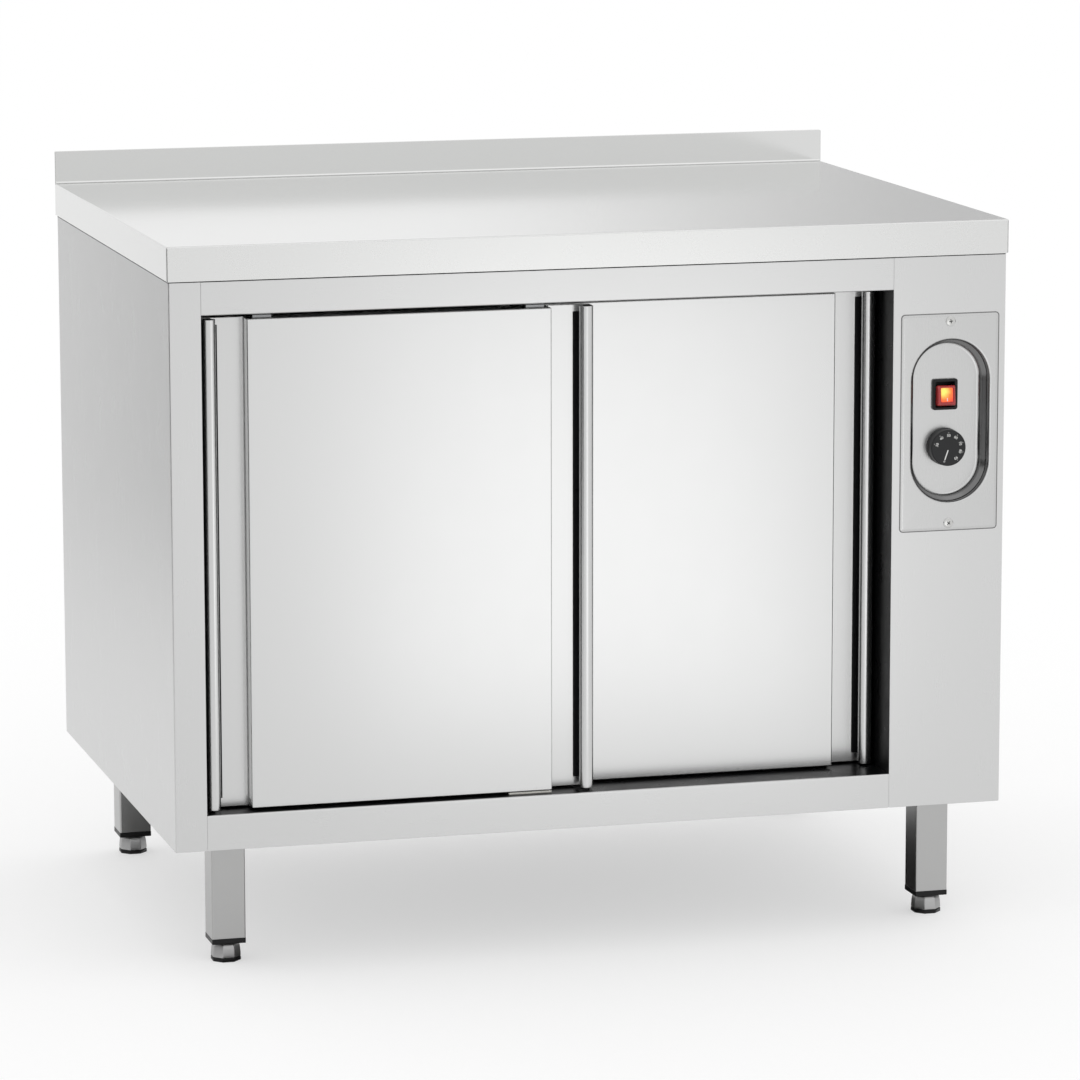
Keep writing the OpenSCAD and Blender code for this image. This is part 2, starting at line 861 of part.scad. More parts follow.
// Switch body with its bezel and the well that the rocker tilts in
module switch_body() {
    corner_r = 3;
    well_d = 12;
    pivot_len = well_w + 2 * pin_len + slip;
    color(black)
        difference() {
            union() {
                slab_y(plate_x, switch_z, bezel_w, bezel_h, corner_r, floor_y - bezel_d, bezel_d);
                translate([plate_x, floor_y, switch_z])
                    span([-switch_body_w / 2, switch_body_w / 2], [0, switch_body_d],
                         [-switch_body_h / 2, switch_body_h / 2]);
            }
            translate([plate_x, floor_y, switch_z])
                span([-well_w / 2, well_w / 2], [-bezel_d - past, well_d], [-well_h / 2, well_h / 2]);
            rod_x([plate_x - pivot_len / 2, pivot_y, switch_z], pivot_r + axle_gap, pivot_len);
        }
}

// Lit rocker on its pivot pins, tilted to the on position
module switch_rocker() {
    bevel = 3;
    tail = 4;
    tail_inset = 2;
    face = -rocker_out - pivot_y + floor_y;
    half = rocker_h / 2;
    color(red)
        translate([plate_x, pivot_y, switch_z])
            rotate([-rocker_tilt, 0, 0])
                union() {
                    rotate([90, 0, 90])
                        linear_extrude(height = rocker_w, center = true)
                            polygon([
                                [tail, -half + tail_inset], [tail, half - tail_inset],
                                [face + bevel, half], [face, half - bevel],
                                [face, -half + bevel], [face + bevel, -half]
                            ]);
                    rod_x([-well_w / 2 - pin_len, 0, 0], pivot_r, well_w + 2 * pin_len);
                }
}

// Stadium-shaped block whose wall leans inward, from y = 0 back to y = depth
module stadium(r_front, r_back, straight, depth) {
    for (side = [-1, 1])
        translate([0, 0, side * straight / 2])
            rotate([-90, 0, 0])
                cylinder(r1 = r_front, r2 = r_back, h = depth, $fn = 96);
    translate([0, 0, -straight / 2])
        linear_extrude(height = straight)
            polygon([[-r_front, 0], [r_front, 0], [r_back, depth], [-r_back, depth]]);
}

module plate_screw_places() {
    for (side = [-1, 1])
        translate([plate_x, 0, plate_zc + side * plate_screw_dz])
            children();
}

// Control plate with the pressed recess
module control_plate() {
    rim = recess_w / 2;
    deep = rim - recess_lean;
    slope = recess_lean / recess_d;
    corner_r = 4;
    color(steel)
        difference() {
            union() {
                slab_y(plate_x, plate_zc, plate_w, plate_h, corner_r, plate_y, plate_t);
                translate([recess_x, plate_y, recess_zc])
                    stadium(rim + plate_t, deep + plate_t - slope * plate_t, recess_straight,
                            recess_d + plate_t);
            }
            translate([recess_x, plate_y - past, recess_zc])
                stadium(rim + slope * past, deep, recess_straight, recess_d + past);
            plate_screw_places()
                rod_y([0, plate_y - past, 0], plate_screw_r + slip, plate_t + 2 * past);
            rod_y([recess_x, floor_y - past, knob_z], bush_r + slip / 2, plate_t + 2 * past);
            translate([plate_x, floor_y, switch_z])
                span([-switch_body_w / 2 - slip, switch_body_w / 2 + slip], [-past, plate_t + past],
                     [-switch_body_h / 2 - slip, switch_body_h / 2 + slip]);
        }
}

// Two pan-head screws through the control plate
module control_plate_screws() {
    head_r = 6;
    head_h = 1.6;
    screw_len = 9;
    color(steel_dark)
        plate_screw_places()
            union() {
                rod_y([0, plate_y - head_h, 0], head_r, head_h);
                rod_y([0, plate_y - head_h / 2, 0], plate_screw_r, screw_len);
            }
}

// Supply terminal block with its five wells
module terminal_block() {
    wells = 5;
    well_r = 2.5;
    well_d = 8;
    pitch = terminal_w / wells;
    color(nylon)
        difference() {
            span([terminal_x - terminal_w / 2, terminal_x + terminal_w / 2],
                 [terminal_y - terminal_d / 2, terminal_y + terminal_d / 2],
                 [terminal_z0, terminal_z0 + terminal_h]);
            for (i = [0 : wells - 1])
                for (side = [-1, 1])
                    translate([terminal_x + (i - (wells - 1) / 2) * pitch,
                               terminal_y + side * terminal_d / 4,
                               terminal_z0 + terminal_h - well_d])
                        cylinder(r = well_r, h = well_d + past);
        }
}

// Cable gland through the base pan, with its nut inside
module cable_gland() {
    hex_r = 14;
    hex_h = 7;
    dome_h = 13;
    dome_r = gland_bore_r + 3;
    neck_r = gland_thread_r + 1;
    thread_top = 13;
    nut_h = 5;
    sunk = 1;
    color(black)
        translate([gland_x, gland_y, z_under])
            difference() {
                union() {
                    translate([0, 0, -hex_h])
                        cylinder(r = hex_r, h = hex_h, $fn = 6);
                    translate([0, 0, -hex_h - dome_h])
                        cylinder(r1 = dome_r, r2 = neck_r, h = dome_h);
                    translate([0, 0, -sunk])
                        cylinder(r = gland_thread_r, h = thread_top + sunk);
                    translate([0, 0, sheet_t])
                        cylinder(r = hex_r, h = nut_h, $fn = 6);
                }
                translate([0, 0, -hex_h - dome_h - past])
                    cylinder(r = gland_bore_r, h = hex_h + dome_h + thread_top + 2 * past);
            }
}

// Wires from the terminals to the switch, the thermostat, the motor and the heater
module wiring_loom() {
    lane = 13;
    step = 12;
    z_term = terminal_z0 + terminal_h;
    x_lane = terminal_x + lane;
    x_far = terminal_x + 2 * lane;
    x_near = terminal_x + lane + 7;
    y_switch = floor_y + switch_body_d;
    y_therm = floor_back_y + thermostat_d;
    y_run = y_therm + 40;
    z_run = fan_zc - motor_r - 30;
    z_pair = switch_z + 8;
    x_run = x_right - 30;
    y_heater = fan_y + heater_r * sin(heater_gap_deg);
    z_heater = fan_zc + heater_r * cos(heater_gap_deg);
    x_heater = open_x1 + cold_end_out;
    to_switch = [
        [x_lane, terminal_y, z_term], [x_lane, terminal_y, z_run], [x_lane, y_run, z_run],
        [x_lane, y_run, switch_z], [x_lane, y_switch, switch_z]
    ];
    to_thermostat = [
        [terminal_x, terminal_y, z_term], [terminal_x, terminal_y, z_run + step],
        [terminal_x, y_run + step, z_run + step], [terminal_x, y_run + step, knob_z],
        [terminal_x, y_therm, knob_z]
    ];
    to_motor = [
        [x_far, terminal_y, z_term], [x_far, terminal_y, fan_zc], [x_far, fan_y, fan_zc],
        [motor_x0 + motor_len, fan_y, fan_zc]
    ];
    to_heater = [
        [x_heater, y_heater, z_heater], [x_run, y_heater, z_heater],
        [x_run, y_run + 2 * step, z_heater], [x_run, y_run + 2 * step, z_pair],
        [x_near, y_run + 2 * step, z_pair], [x_near, y_switch, z_pair]
    ];
    color([0.55, 0.16, 0.12])
        for (route = [to_switch, to_thermostat, to_motor, to_heater])
            tube_along(route, wire_r, 8);
}

// Square leg tube with its centre at x, y
module leg(x, y) {
    half = leg_w / 2;
    inner = half - leg_t;
    color(steel)
        difference() {
            translate([x, y, 0])
                span([-half, half], [-half, half], [leg_z0, leg_z1]);
            translate([x, y, 0])
                span([-inner, inner], [-inner, inner], [leg_z0 - past, leg_z1 + past]);
        }
}

module leg_places() {
    for (x = leg_xs)
        for (y = leg_ys)
            translate([x, y, 0])
                children();
}

module bolt_places() {
    leg_places()
        for (sx = [-1, 1])
            for (sy = [-1, 1])
                translate([sx * bolt_dx, sy * bolt_dy, 0])
                    children();
}

// Plastic cap under each leg tube, with the nut thread for the foot
module leg_caps() {
    half = leg_w / 2;
    plug = half - leg_t - slip;
    sunk = 1;
    color(black)
        leg_places()
            difference() {
                union() {
                    span([-half, half], [-half, half], [foot_h, leg_z0]);
                    span([-plug, plug], [-plug, plug], [leg_z0 - sunk, leg_z0 + plug_h]);
                }
                translate([0, 0, foot_h - past])
                    cylinder(r = stud_r + axle_gap, h = cap_h + plug_h + 2 * past);
            }
}

module leg_plates() {
    color(steel_dark)
        difference() {
            leg_places()
                span([-leg_plate_w / 2, leg_plate_w / 2], [-leg_plate_d / 2, leg_plate_d / 2],
                     [leg_z1, z_under]);
            bolt_places()
                translate([0, 0, leg_z1 - past])
                    cylinder(r = bolt_hole_r, h = leg_plate_t + 2 * past);
        }
}

module leg_bolts() {
    sunk = 1;
    color(zinc)
        bolt_places()
            union() {
                translate([0, 0, leg_z1 - bolt_head_h])
                    cylinder(r = bolt_head_r, h = bolt_head_h, $fn = 6);
                translate([0, 0, leg_z1 - sunk])
                    cylinder(r = bolt_r, h = sunk + leg_plate_t + bolt_top);
            }
}

// Adjustable foot: black base, and an eight-sided jacket with its threaded stud
module foot(x, y) {
    taper = 2;
    sunk = 2;
    half_side = 22.5;
    r_base = foot_w / 2 / cos(half_side);
    jacket_z0 = pad_h + slip;
    color(zinc)
        translate([x, y, 0])
            union() {
                translate([0, 0, jacket_z0])
                    rotate([0, 0, half_side])
                        cylinder(r1 = r_base, r2 = r_base - taper,
                                 h = foot_h - run_gap - jacket_z0, $fn = 8);
                translate([0, 0, jacket_z0 + sunk])
                    cylinder(r = stud_r, h = stud_top - jacket_z0 - sunk);
            }
    color(black)
        translate([x, y, 0])
            rotate([0, 0, half_side])
                cylinder(r = r_base, h = pad_h, $fn = 8);
}

// Section of a grip profile: u runs inward from the door's edge, v runs back
module grip_section() {
    end_u = handle_w - panel_gap;
    foot_d = skin_y - channel_d;
    edge_c = [grip_edge_r, grip_edge_r];
    nose_c = [grip_w - grip_nose_r, grip_nose_r];
    wall_edge_r = grip_edge_r - profile_t;
    wall_nose_r = grip_nose_r - profile_t;
    neck_v = grip_lip_d + 3;
    outer = concat(
        [[0, channel_d]],
        arc(edge_c, grip_edge_r, 180, 270, 4),
        arc(nose_c, grip_nose_r, 270, 360, 8),
        [[grip_w, grip_lip_d], [grip_neck_w, neck_v], [grip_neck_w, channel_d]]
    );
    inner = concat(
        [[profile_t, channel_d]],
        arc(edge_c, wall_edge_r, 180, 270, 4),
        arc(nose_c, wall_nose_r, 270, 360, 8),
        [[grip_w - profile_t, grip_lip_d - profile_t / 2],
         [grip_neck_w - profile_t, neck_v - profile_t / 2], [grip_neck_w - profile_t, channel_d]]
    );
    difference() {
        polygon(outer);
        polygon(inner);
    }
    translate([0, channel_d])
        square([end_u, profile_t]);
    translate([0, channel_d])
        square([profile_t, foot_d]);
    translate([end_u - profile_t, channel_d])
        square([profile_t, foot_d]);
}

// Grip and finger channel along a door's edge, over the door's whole height
module grip(edge_x, y, flip) {
    color(steel)
        translate([edge_x, y, 0])
            mirror([flip, 0, 0])
                difference() {
                    translate([0, 0, door_z0])
                        linear_extrude(height = door_z1 - door_z0)
                            grip_section();
                    span([-past, handle_w], [door_t / 2 - notch_w / 2, door_t / 2 + notch_w / 2],
                         [door_z0 - past, open_z0 + notch_h]);
                }
}

// Main panel of a door, folded back on all four sides, with the guide groove below
module door_panel(x, y) {
    x0 = x + handle_w;
    x1 = x + door_w - handle_w;
    color(steel)
        difference() {
            span([x0, x1], [y, y + skin_y], [door_z0, door_z1]);
            span([x0 + sheet_t, x1 - sheet_t], [y + sheet_t, y + skin_y + past],
                 [door_z0 + sheet_t, door_z1 - sheet_t]);
            translate([0, y + door_t / 2, 0])
                span([x0 - past, x1 + past], [-notch_w / 2, notch_w / 2],
                     [door_z0 - past, open_z0 + notch_h]);
        }
}

// Inner sheet of a door
module door_back(x, y) {
    color(steel)
        span([x, x + door_w], [y + skin_y, y + door_t], [door_z0, door_z1]);
}

// Insulation inside the main panel
module door_core(x, y) {
    gap = 0.3;
    color(wool)
        span([x + handle_w + sheet_t + gap, x + door_w - handle_w - sheet_t - gap],
             [y + sheet_t + gap, y + skin_y - gap],
             [open_z0 + notch_h + 2, door_z1 - sheet_t - gap]);
}

// The two hanger places of a door, which are also its roller axes
function hanger_xs(x) = [
    x + handle_w + hanger_inset,
    x + door_w - handle_w - hanger_inset
];

// Two hangers on a door's top, each with the axle for its pair of wheels
module door_hangers(x, y) {
    base_d = 14;
    base_h = 3.5;
    boss_r = hanger_w / 2 - 2;
    collar_mid = wheel_offset + roller_w + run_gap + collar_t / 2;
    color(zinc)
        for (hx = hanger_xs(x))
            translate([hx, y + door_t / 2, 0])
                union() {
                    span([-hanger_w / 2, hanger_w / 2], [-base_d / 2, base_d / 2],
                         [door_z1, door_z1 + base_h]);
                    span([-hanger_w / 2, hanger_w / 2], [-hanger_t / 2, hanger_t / 2],
                         [door_z1, axle_z]);
                    rod_y([0, -hanger_t / 2, axle_z], boss_r, hanger_t);
                    rod_y([0, -axle_len / 2, axle_z], axle_r, axle_len);
                    for (side = [-1, 1])
                        rod_y([0, side * collar_mid - collar_t / 2, axle_z], collar_r, collar_t);
                }
}

// Pair of wheels on one axle, one on each side of the hanger
module roller(hx, y) {
    color(nylon)
        for (side = [-1, 1])
            translate([hx, y + door_t / 2 + side * (wheel_offset + roller_w / 2), axle_z])
                rotate([90, 0, 0])
                    difference() {
                        cylinder(r = roller_r, h = roller_w, center = true);
                        cylinder(r = axle_r + axle_gap, h = roller_w + 2 * past, center = true);
                    }
}

module leg_front_left() { leg(leg_xs[0], leg_ys[0]); }
module leg_front_right() { leg(leg_xs[1], leg_ys[0]); }
module leg_rear_left() { leg(leg_xs[0], leg_ys[1]); }
module leg_rear_right() { leg(leg_xs[1], leg_ys[1]); }
module foot_front_left() { foot(leg_xs[0], leg_ys[0]); }
module foot_front_right() { foot(leg_xs[1], leg_ys[0]); }
module foot_rear_left() { foot(leg_xs[0], leg_ys[1]); }
module foot_rear_right() { foot(leg_xs[1], leg_ys[1]); }

module door_left_panel() { door_panel(left_door_x, left_door_y); }
module door_left_back() { door_back(left_door_x, left_door_y); }
module door_left_core() { door_core(left_door_x, left_door_y); }
module door_left_grip_outer() { grip(left_door_x, left_door_y, 0); }
module door_left_grip_inner() { grip(left_door_x + door_w, left_door_y, 1); }
module door_left_hangers() { door_hangers(left_door_x, left_door_y); }
module door_left_roller_a() { roller(hanger_xs(left_door_x)[0], left_door_y); }
module door_left_roller_b() { roller(hanger_xs(left_door_x)[1], left_door_y); }

module door_right_panel() { door_panel(right_door_x, right_door_y); }
module door_right_back() { door_back(right_door_x, right_door_y); }
module door_right_core() { door_core(right_door_x, right_door_y); }
module door_right_grip_inner() { grip(right_door_x, right_door_y, 0); }
module door_right_grip_outer() { grip(right_door_x + door_w, right_door_y, 1); }
module door_right_hangers() { door_hangers(right_door_x, right_door_y); }
module door_right_roller_a() { roller(hanger_xs(right_door_x)[0], right_door_y); }
module door_right_roller_b() { roller(hanger_xs(right_door_x)[1], right_door_y); }

worktop();
worktop_stiffeners();
side_panel_left();
side_panel_right();
back_panel();
base_pan();
top_rail();
bottom_rail();
control_front_panel();
inner_wall_left();
inner_wall_right();
inner_wall_back();
cavity_floor();
cavity_ceiling();
insulation_slabs();
door_track();
door_guides();
shelf();
shelf_brackets();
heater_element();
fan_motor();
fan_wheel();
fan_cover();
thermostat_body();
thermostat_bulb();
thermostat_knob();
switch_body();
switch_rocker();
control_plate();
control_plate_screws();
terminal_block();
cable_gland();
wiring_loom();
leg_front_left();
leg_front_right();
leg_rear_left();
leg_rear_right();
leg_caps();
leg_plates();
leg_bolts();
foot_front_left();
foot_front_right();
foot_rear_left();
foot_rear_right();
door_left_panel();
door_left_back();
door_left_core();
door_left_grip_outer();
door_left_grip_inner();
door_left_hangers();
door_left_roller_a();
door_left_roller_b();
door_right_panel();
door_right_back();
door_right_core();
door_right_grip_inner();
door_right_grip_outer();
door_right_hangers();
door_right_roller_a();
door_right_roller_b();
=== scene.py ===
"""Looks of the plate warmer cabinet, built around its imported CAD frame.

Lengths are in metres, in the CAD frame: X to the right, -Y to the front, Z up.
"""

import json
import logging
import math
from dataclasses import dataclass, field
from enum import Enum

import bmesh
import bpy
from mathutils import Matrix, Vector


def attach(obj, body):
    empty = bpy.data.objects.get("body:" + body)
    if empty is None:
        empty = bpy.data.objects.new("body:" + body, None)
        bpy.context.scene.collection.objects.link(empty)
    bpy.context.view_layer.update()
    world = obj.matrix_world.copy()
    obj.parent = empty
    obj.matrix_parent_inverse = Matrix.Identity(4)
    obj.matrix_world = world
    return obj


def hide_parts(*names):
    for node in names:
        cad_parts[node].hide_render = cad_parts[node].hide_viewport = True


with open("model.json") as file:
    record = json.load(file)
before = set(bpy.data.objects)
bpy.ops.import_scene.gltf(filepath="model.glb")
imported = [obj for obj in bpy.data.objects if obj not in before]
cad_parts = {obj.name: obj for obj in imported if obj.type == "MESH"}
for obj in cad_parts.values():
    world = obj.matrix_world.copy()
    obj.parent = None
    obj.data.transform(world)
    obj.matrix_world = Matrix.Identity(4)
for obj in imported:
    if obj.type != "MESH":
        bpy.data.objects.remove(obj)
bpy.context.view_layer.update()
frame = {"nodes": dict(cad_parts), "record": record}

log = logging.getLogger("plate_warmer")
MM = 0.001
Point2 = tuple[float, float]
Point3 = tuple[float, float, float]
Colour = tuple[float, float, float]


# ---------------------------------------------------------------- node wiring


class Wiring:
    """A node tree with short calls for adding and joining its nodes."""

    def __init__(self, tree: bpy.types.NodeTree) -> None:
        """Takes the tree that is filled."""
        self.tree = tree

    def add(self, kind: str, values: dict | None = None, **settings: object) -> bpy.types.Node:
        """Adds one node.

        Args:
            kind: The node's type name.
            values: Input values or the sockets that feed them, by input name or number.
            **settings: The node's own properties.

        Returns:
            The new node.
        """
        node = self.tree.nodes.new(kind)
        for key, value in settings.items():
            setattr(node, key, value)
        for key, value in (values or {}).items():
            if isinstance(value, bpy.types.NodeSocket):
                self.tree.links.new(value, node.inputs[key])
            else:
                node.inputs[key].default_value = value
        return node

    def ramp(self, factor: bpy.types.NodeSocket, stops: list[tuple[float, Colour]]) -> bpy.types.NodeSocket:
        """Adds a colour ramp.

        Args:
            factor: The socket that drives the ramp.
            stops: Pairs of position and colour, two or more.

        Returns:
            The ramp's colour socket.
        """
        node = self.add("ShaderNodeValToRGB", {"Fac": factor})
        elements = node.color_ramp.elements
        while len(elements) < len(stops):
            elements.new(0.5)
        for element, (place, colour) in zip(elements, stops):
            element.position = place
            element.color = (*colour, 1.0)
        return node.outputs["Color"]

    def spread(self, value: bpy.types.NodeSocket, low: float, high: float) -> bpy.types.NodeSocket:
        """Maps a noise value to a range.

        Args:
            value: A socket that stays mostly between 0.25 and 0.75.
            low: The result at 0.25.
            high: The result at 0.75.

        Returns:
            The mapped value's socket.
        """
        node = self.add(
            "ShaderNodeMapRange",
            {"Value": value, "From Min": 0.25, "From Max": 0.75, "To Min": low, "To Max": high},
        )
        return node.outputs["Result"]

    def calc(
        self, operation: str, a: bpy.types.NodeSocket | float, b: bpy.types.NodeSocket | float
    ) -> bpy.types.NodeSocket:
        """Adds one step of arithmetic and returns its value."""
        return self.add("ShaderNodeMath", {0: a, 1: b}, operation=operation).outputs["Value"]

    def noise(self, place: bpy.types.NodeSocket, scale: float, **more: float) -> bpy.types.NodeSocket:
        """Adds a noise.

        Args:
            place: Where the noise is read.
            scale: Its scale.
            **more: Its other inputs by name.

        Returns:
            The noise's value socket.
        """
        return self.add("ShaderNodeTexNoise", {"Vector": place, "Scale": scale, **more}).outputs["Fac"]

    def bump(self, height: bpy.types.NodeSocket, strength: float, distance: float) -> bpy.types.NodeSocket:
        """Adds a bump and returns its normal."""
        values = {"Height": height, "Strength": strength, "Distance": distance}
        return self.add("ShaderNodeBump", values).outputs["Normal"]

    def surface(self, values: dict) -> None:
        """Adds the main shader with its inputs and joins it to the output."""
        shader = self.add("ShaderNodeBsdfPrincipled", values)
        self.add("ShaderNodeOutputMaterial", {"Surface": shader.outputs["BSDF"]})


def emptied(holder: bpy.types.Material | bpy.types.World) -> Wiring:
    """Clears the nodes of a material or the world and returns them for wiring."""
    holder.use_nodes = True
    wires = Wiring(holder.node_tree)
    wires.tree.nodes.clear()
    return wires


# ------------------------------------------------------------------- finishes


class Grain(Enum):
    """Direction of a sheet's brushing: the noise's scale along X, Y and Z."""

    ALONG_X = (9.0, 1500.0, 1500.0)
    ALONG_Z = (1500.0, 1500.0, 9.0)
    NONE = (420.0, 420.0, 420.0)


def shade(colour: Colour, factor: float) -> Colour:
    """A colour made lighter or darker by a factor."""
    return tuple(min(1.0, channel * factor) for channel in colour)


@dataclass(frozen=True)
class MetalFinish:
    """Brushed, polished or plated metal."""

    colour: Colour
    roughness: float
    brushing: float = 0.007
    cloud: float = 0.006
    bump: float = 0.003
    smear: float = 0.006

    def paint(self, name: str, grain: Grain) -> bpy.types.Material:
        """Builds the material.

        Args:
            name: The material's name.
            grain: The brushing's direction.

        Returns:
            The material.
        """
        material = bpy.data.materials.new(name)
        wires = emptied(material)
        place = wires.add("ShaderNodeTexCoord").outputs["Object"]
        lines_at = wires.add("ShaderNodeMapping", {"Vector": place, "Scale": grain.value})
        lines = wires.noise(lines_at.outputs["Vector"], 1.0, Detail=3.0, Roughness=0.6)
        cloud = wires.noise(place, 3.1, Detail=2.0, Roughness=0.5)
        touch = wires.noise(place, 23.0, Detail=4.0, Roughness=0.62)
        tone = wires.ramp(
            wires.calc("ADD", wires.spread(lines, 0.0, 0.45), wires.spread(cloud, 0.0, 0.55)),
            [(0.0, shade(self.colour, 1 - self.cloud)), (1.0, shade(self.colour, 1 + self.cloud))],
        )
        rough = wires.add(
            "ShaderNodeMath",
            {
                0: wires.spread(lines, self.roughness - self.brushing, self.roughness + self.brushing),
                1: wires.spread(touch, -self.smear, self.smear),
            },
            operation="ADD",
            use_clamp=True,
        ).outputs["Value"]
        normal = wires.bump(lines, self.bump, 0.2 * MM)
        wires.surface({"Base Color": tone, "Roughness": rough, "Normal": normal, "Metallic": 1.0})
        return material


@dataclass(frozen=True)
class MouldedFinish:
    """Moulded plastic, enamel or rubber with a fine spark-eroded grain."""

    colour: Colour
    roughness: float
    grain_scale: float = 900.0
    bump: float = 0.12
    swing: float = 0.08
    coat: float = 0.0
    gloss: float = 0.5

    def paint(self, name: str, grain: Grain) -> bpy.types.Material:
        """Builds the material.

        Args:
            name: The material's name.
            grain: Not used, because a moulding has no brushing.

        Returns:
            The material.
        """
        material = bpy.data.materials.new(name)
        wires = emptied(material)
        place = wires.add("ShaderNodeTexCoord").outputs["Object"]
        pores = wires.noise(place, self.grain_scale, Detail=2.0)
        touch = wires.noise(place, 40.0, Detail=3.0)
        tone = wires.ramp(
            wires.spread(touch, 0.0, 1.0),
            [(0.0, shade(self.colour, 1 - self.swing)), (1.0, shade(self.colour, 1 + self.swing))],
        )
        rough = wires.spread(touch, self.roughness - 0.05, self.roughness + 0.05)
        wires.surface(
            {
                "Base Color": tone,
                "Roughness": rough,
                "Normal": wires.bump(pores, self.bump, 0.1 * MM),
                "Coat Weight": self.coat,
                "Specular IOR Level": self.gloss,
            }
        )
        return material


@dataclass(frozen=True)
class WoolFinish:
    """Mineral wool with its matted fibres."""

    colour: Colour = (0.62, 0.55, 0.36)

    def paint(self, name: str, grain: Grain) -> bpy.types.Material:
        """Builds the material.

        Args:
            name: The material's name.
            grain: Not used, because the fibres lie every way.

        Returns:
            The material.
        """
        material = bpy.data.materials.new(name)
        wires = emptied(material)
        place = wires.add("ShaderNodeTexCoord").outputs["Object"]
        mat_at = wires.add("ShaderNodeMapping", {"Vector": place, "Scale": (160.0, 160.0, 420.0)})
        fibres = wires.noise(mat_at.outputs["Vector"], 1.0, Detail=6.0, Distortion=1.6)
        tone = wires.ramp(fibres, [(0.3, shade(self.colour, 0.6)), (0.7, shade(self.colour, 1.25))])
        wires.surface({"Base Color": tone, "Roughness": 0.95, "Normal": wires.bump(fibres, 0.7, 2 * MM)})
        return material


@dataclass(frozen=True)
class LampFinish:
    """Red lens lit from behind by a small lamp at one place."""

    lamp_at: Point3
    reach: float
    glow: float
    hot: Colour = (1.0, 0.62, 0.12)
    warm: Colour = (0.95, 0.16, 0.03)
    cool: Colour = (0.5, 0.015, 0.02)

    def paint(self, name: str, grain: Grain) -> bpy.types.Material:
        """Builds the material.

        Args:
            name: The material's name.
            grain: Not used, because the lens is moulded.

        Returns:
            The material.
        """
        material = bpy.data.materials.new(name)
        wires = emptied(material)
        place = wires.add("ShaderNodeTexCoord").outputs["Object"]
        ripple = wires.noise(place, 260.0, Detail=1.0)
        away = wires.add(
            "ShaderNodeVectorMath", {0: place, 1: self.lamp_at}, operation="DISTANCE"
        ).outputs["Value"]
        share = wires.calc("MULTIPLY", away, 1.0 / self.reach)
        share = wires.calc("ADD", share, wires.spread(ripple, -0.08, 0.08))
        light = wires.ramp(share, [(0.15, self.hot), (0.55, self.warm), (1.0, self.cool)])
        wires.surface(
            {
                "Base Color": light,
                "Roughness": wires.spread(ripple, 0.16, 0.26),
                "Emission Color": light,
                "Emission Strength": self.glow,
            }
        )
        return material


Finish = MetalFinish | MouldedFinish | WoolFinish | LampFinish

FINISHES: dict[str, Finish] = {
    "worktop_steel": MetalFinish((0.69, 0.693, 0.687), 0.13),
    "body_steel": MetalFinish((0.615, 0.617, 0.615), 0.28),
    "door_steel": MetalFinish((0.625, 0.627, 0.625), 0.26),
    "grip_steel": MetalFinish((0.6, 0.602, 0.6), 0.24),
    "inner_steel": MetalFinish((0.76, 0.762, 0.758), 0.42),
    "control_plate_steel": MetalFinish((0.56, 0.562, 0.56), 0.27),
    "leg_steel": MetalFinish((0.45, 0.45, 0.447), 0.3),
    "foot_metal": MetalFinish((0.45, 0.45, 0.45), 0.42, brushing=0.03),
    "screw_steel": MetalFinish((0.56, 0.56, 0.55), 0.2, brushing=0.03),
    "zinc_plate": MetalFinish((0.3, 0.305, 0.31), 0.38, brushing=0.06, cloud=0.08),
    "heater_sheath": MetalFinish((0.2, 0.19, 0.18), 0.5, cloud=0.12),
    "copper": MetalFinish((0.72, 0.4, 0.24), 0.3, cloud=0.06),
    "nylon": MouldedFinish((0.74, 0.73, 0.68), 0.42),
    "black_plastic": MouldedFinish((0.009, 0.009, 0.0095), 0.36, gloss=0.25),
    "red_lens": MouldedFinish((0.42, 0.03, 0.03), 0.24, coat=0.3),
    "wire_cover": MouldedFinish((0.3, 0.05, 0.04), 0.6),
    "mineral_wool": WoolFinish(),
}

EXTRA_FINISHES: dict[str, Finish] = {
    "dial_black": MouldedFinish((0.018, 0.0185, 0.0195), 0.45, gloss=0.3),
    "dial_white": MouldedFinish((0.8, 0.8, 0.78), 0.5),
    "dial_grey": MouldedFinish((0.45, 0.45, 0.45), 0.5),
    "lens_window": LampFinish((0.4262, -0.338, 0.6478), 0.0165, 0.68),
    # Black for painted shade: the worktop gap's shadow, finger channels, door bay and screw slots.
    "lining_black": MouldedFinish((0.006, 0.006, 0.0065), 0.3, gloss=0.12),
    # Dark steel for painted shade on the recess walls and in the shadow line round the plate.
    "drawn_steel": MetalFinish((0.18, 0.18, 0.18), 0.22),
    "worktop_edge": MetalFinish((0.69, 0.693, 0.687), 0.27),
}


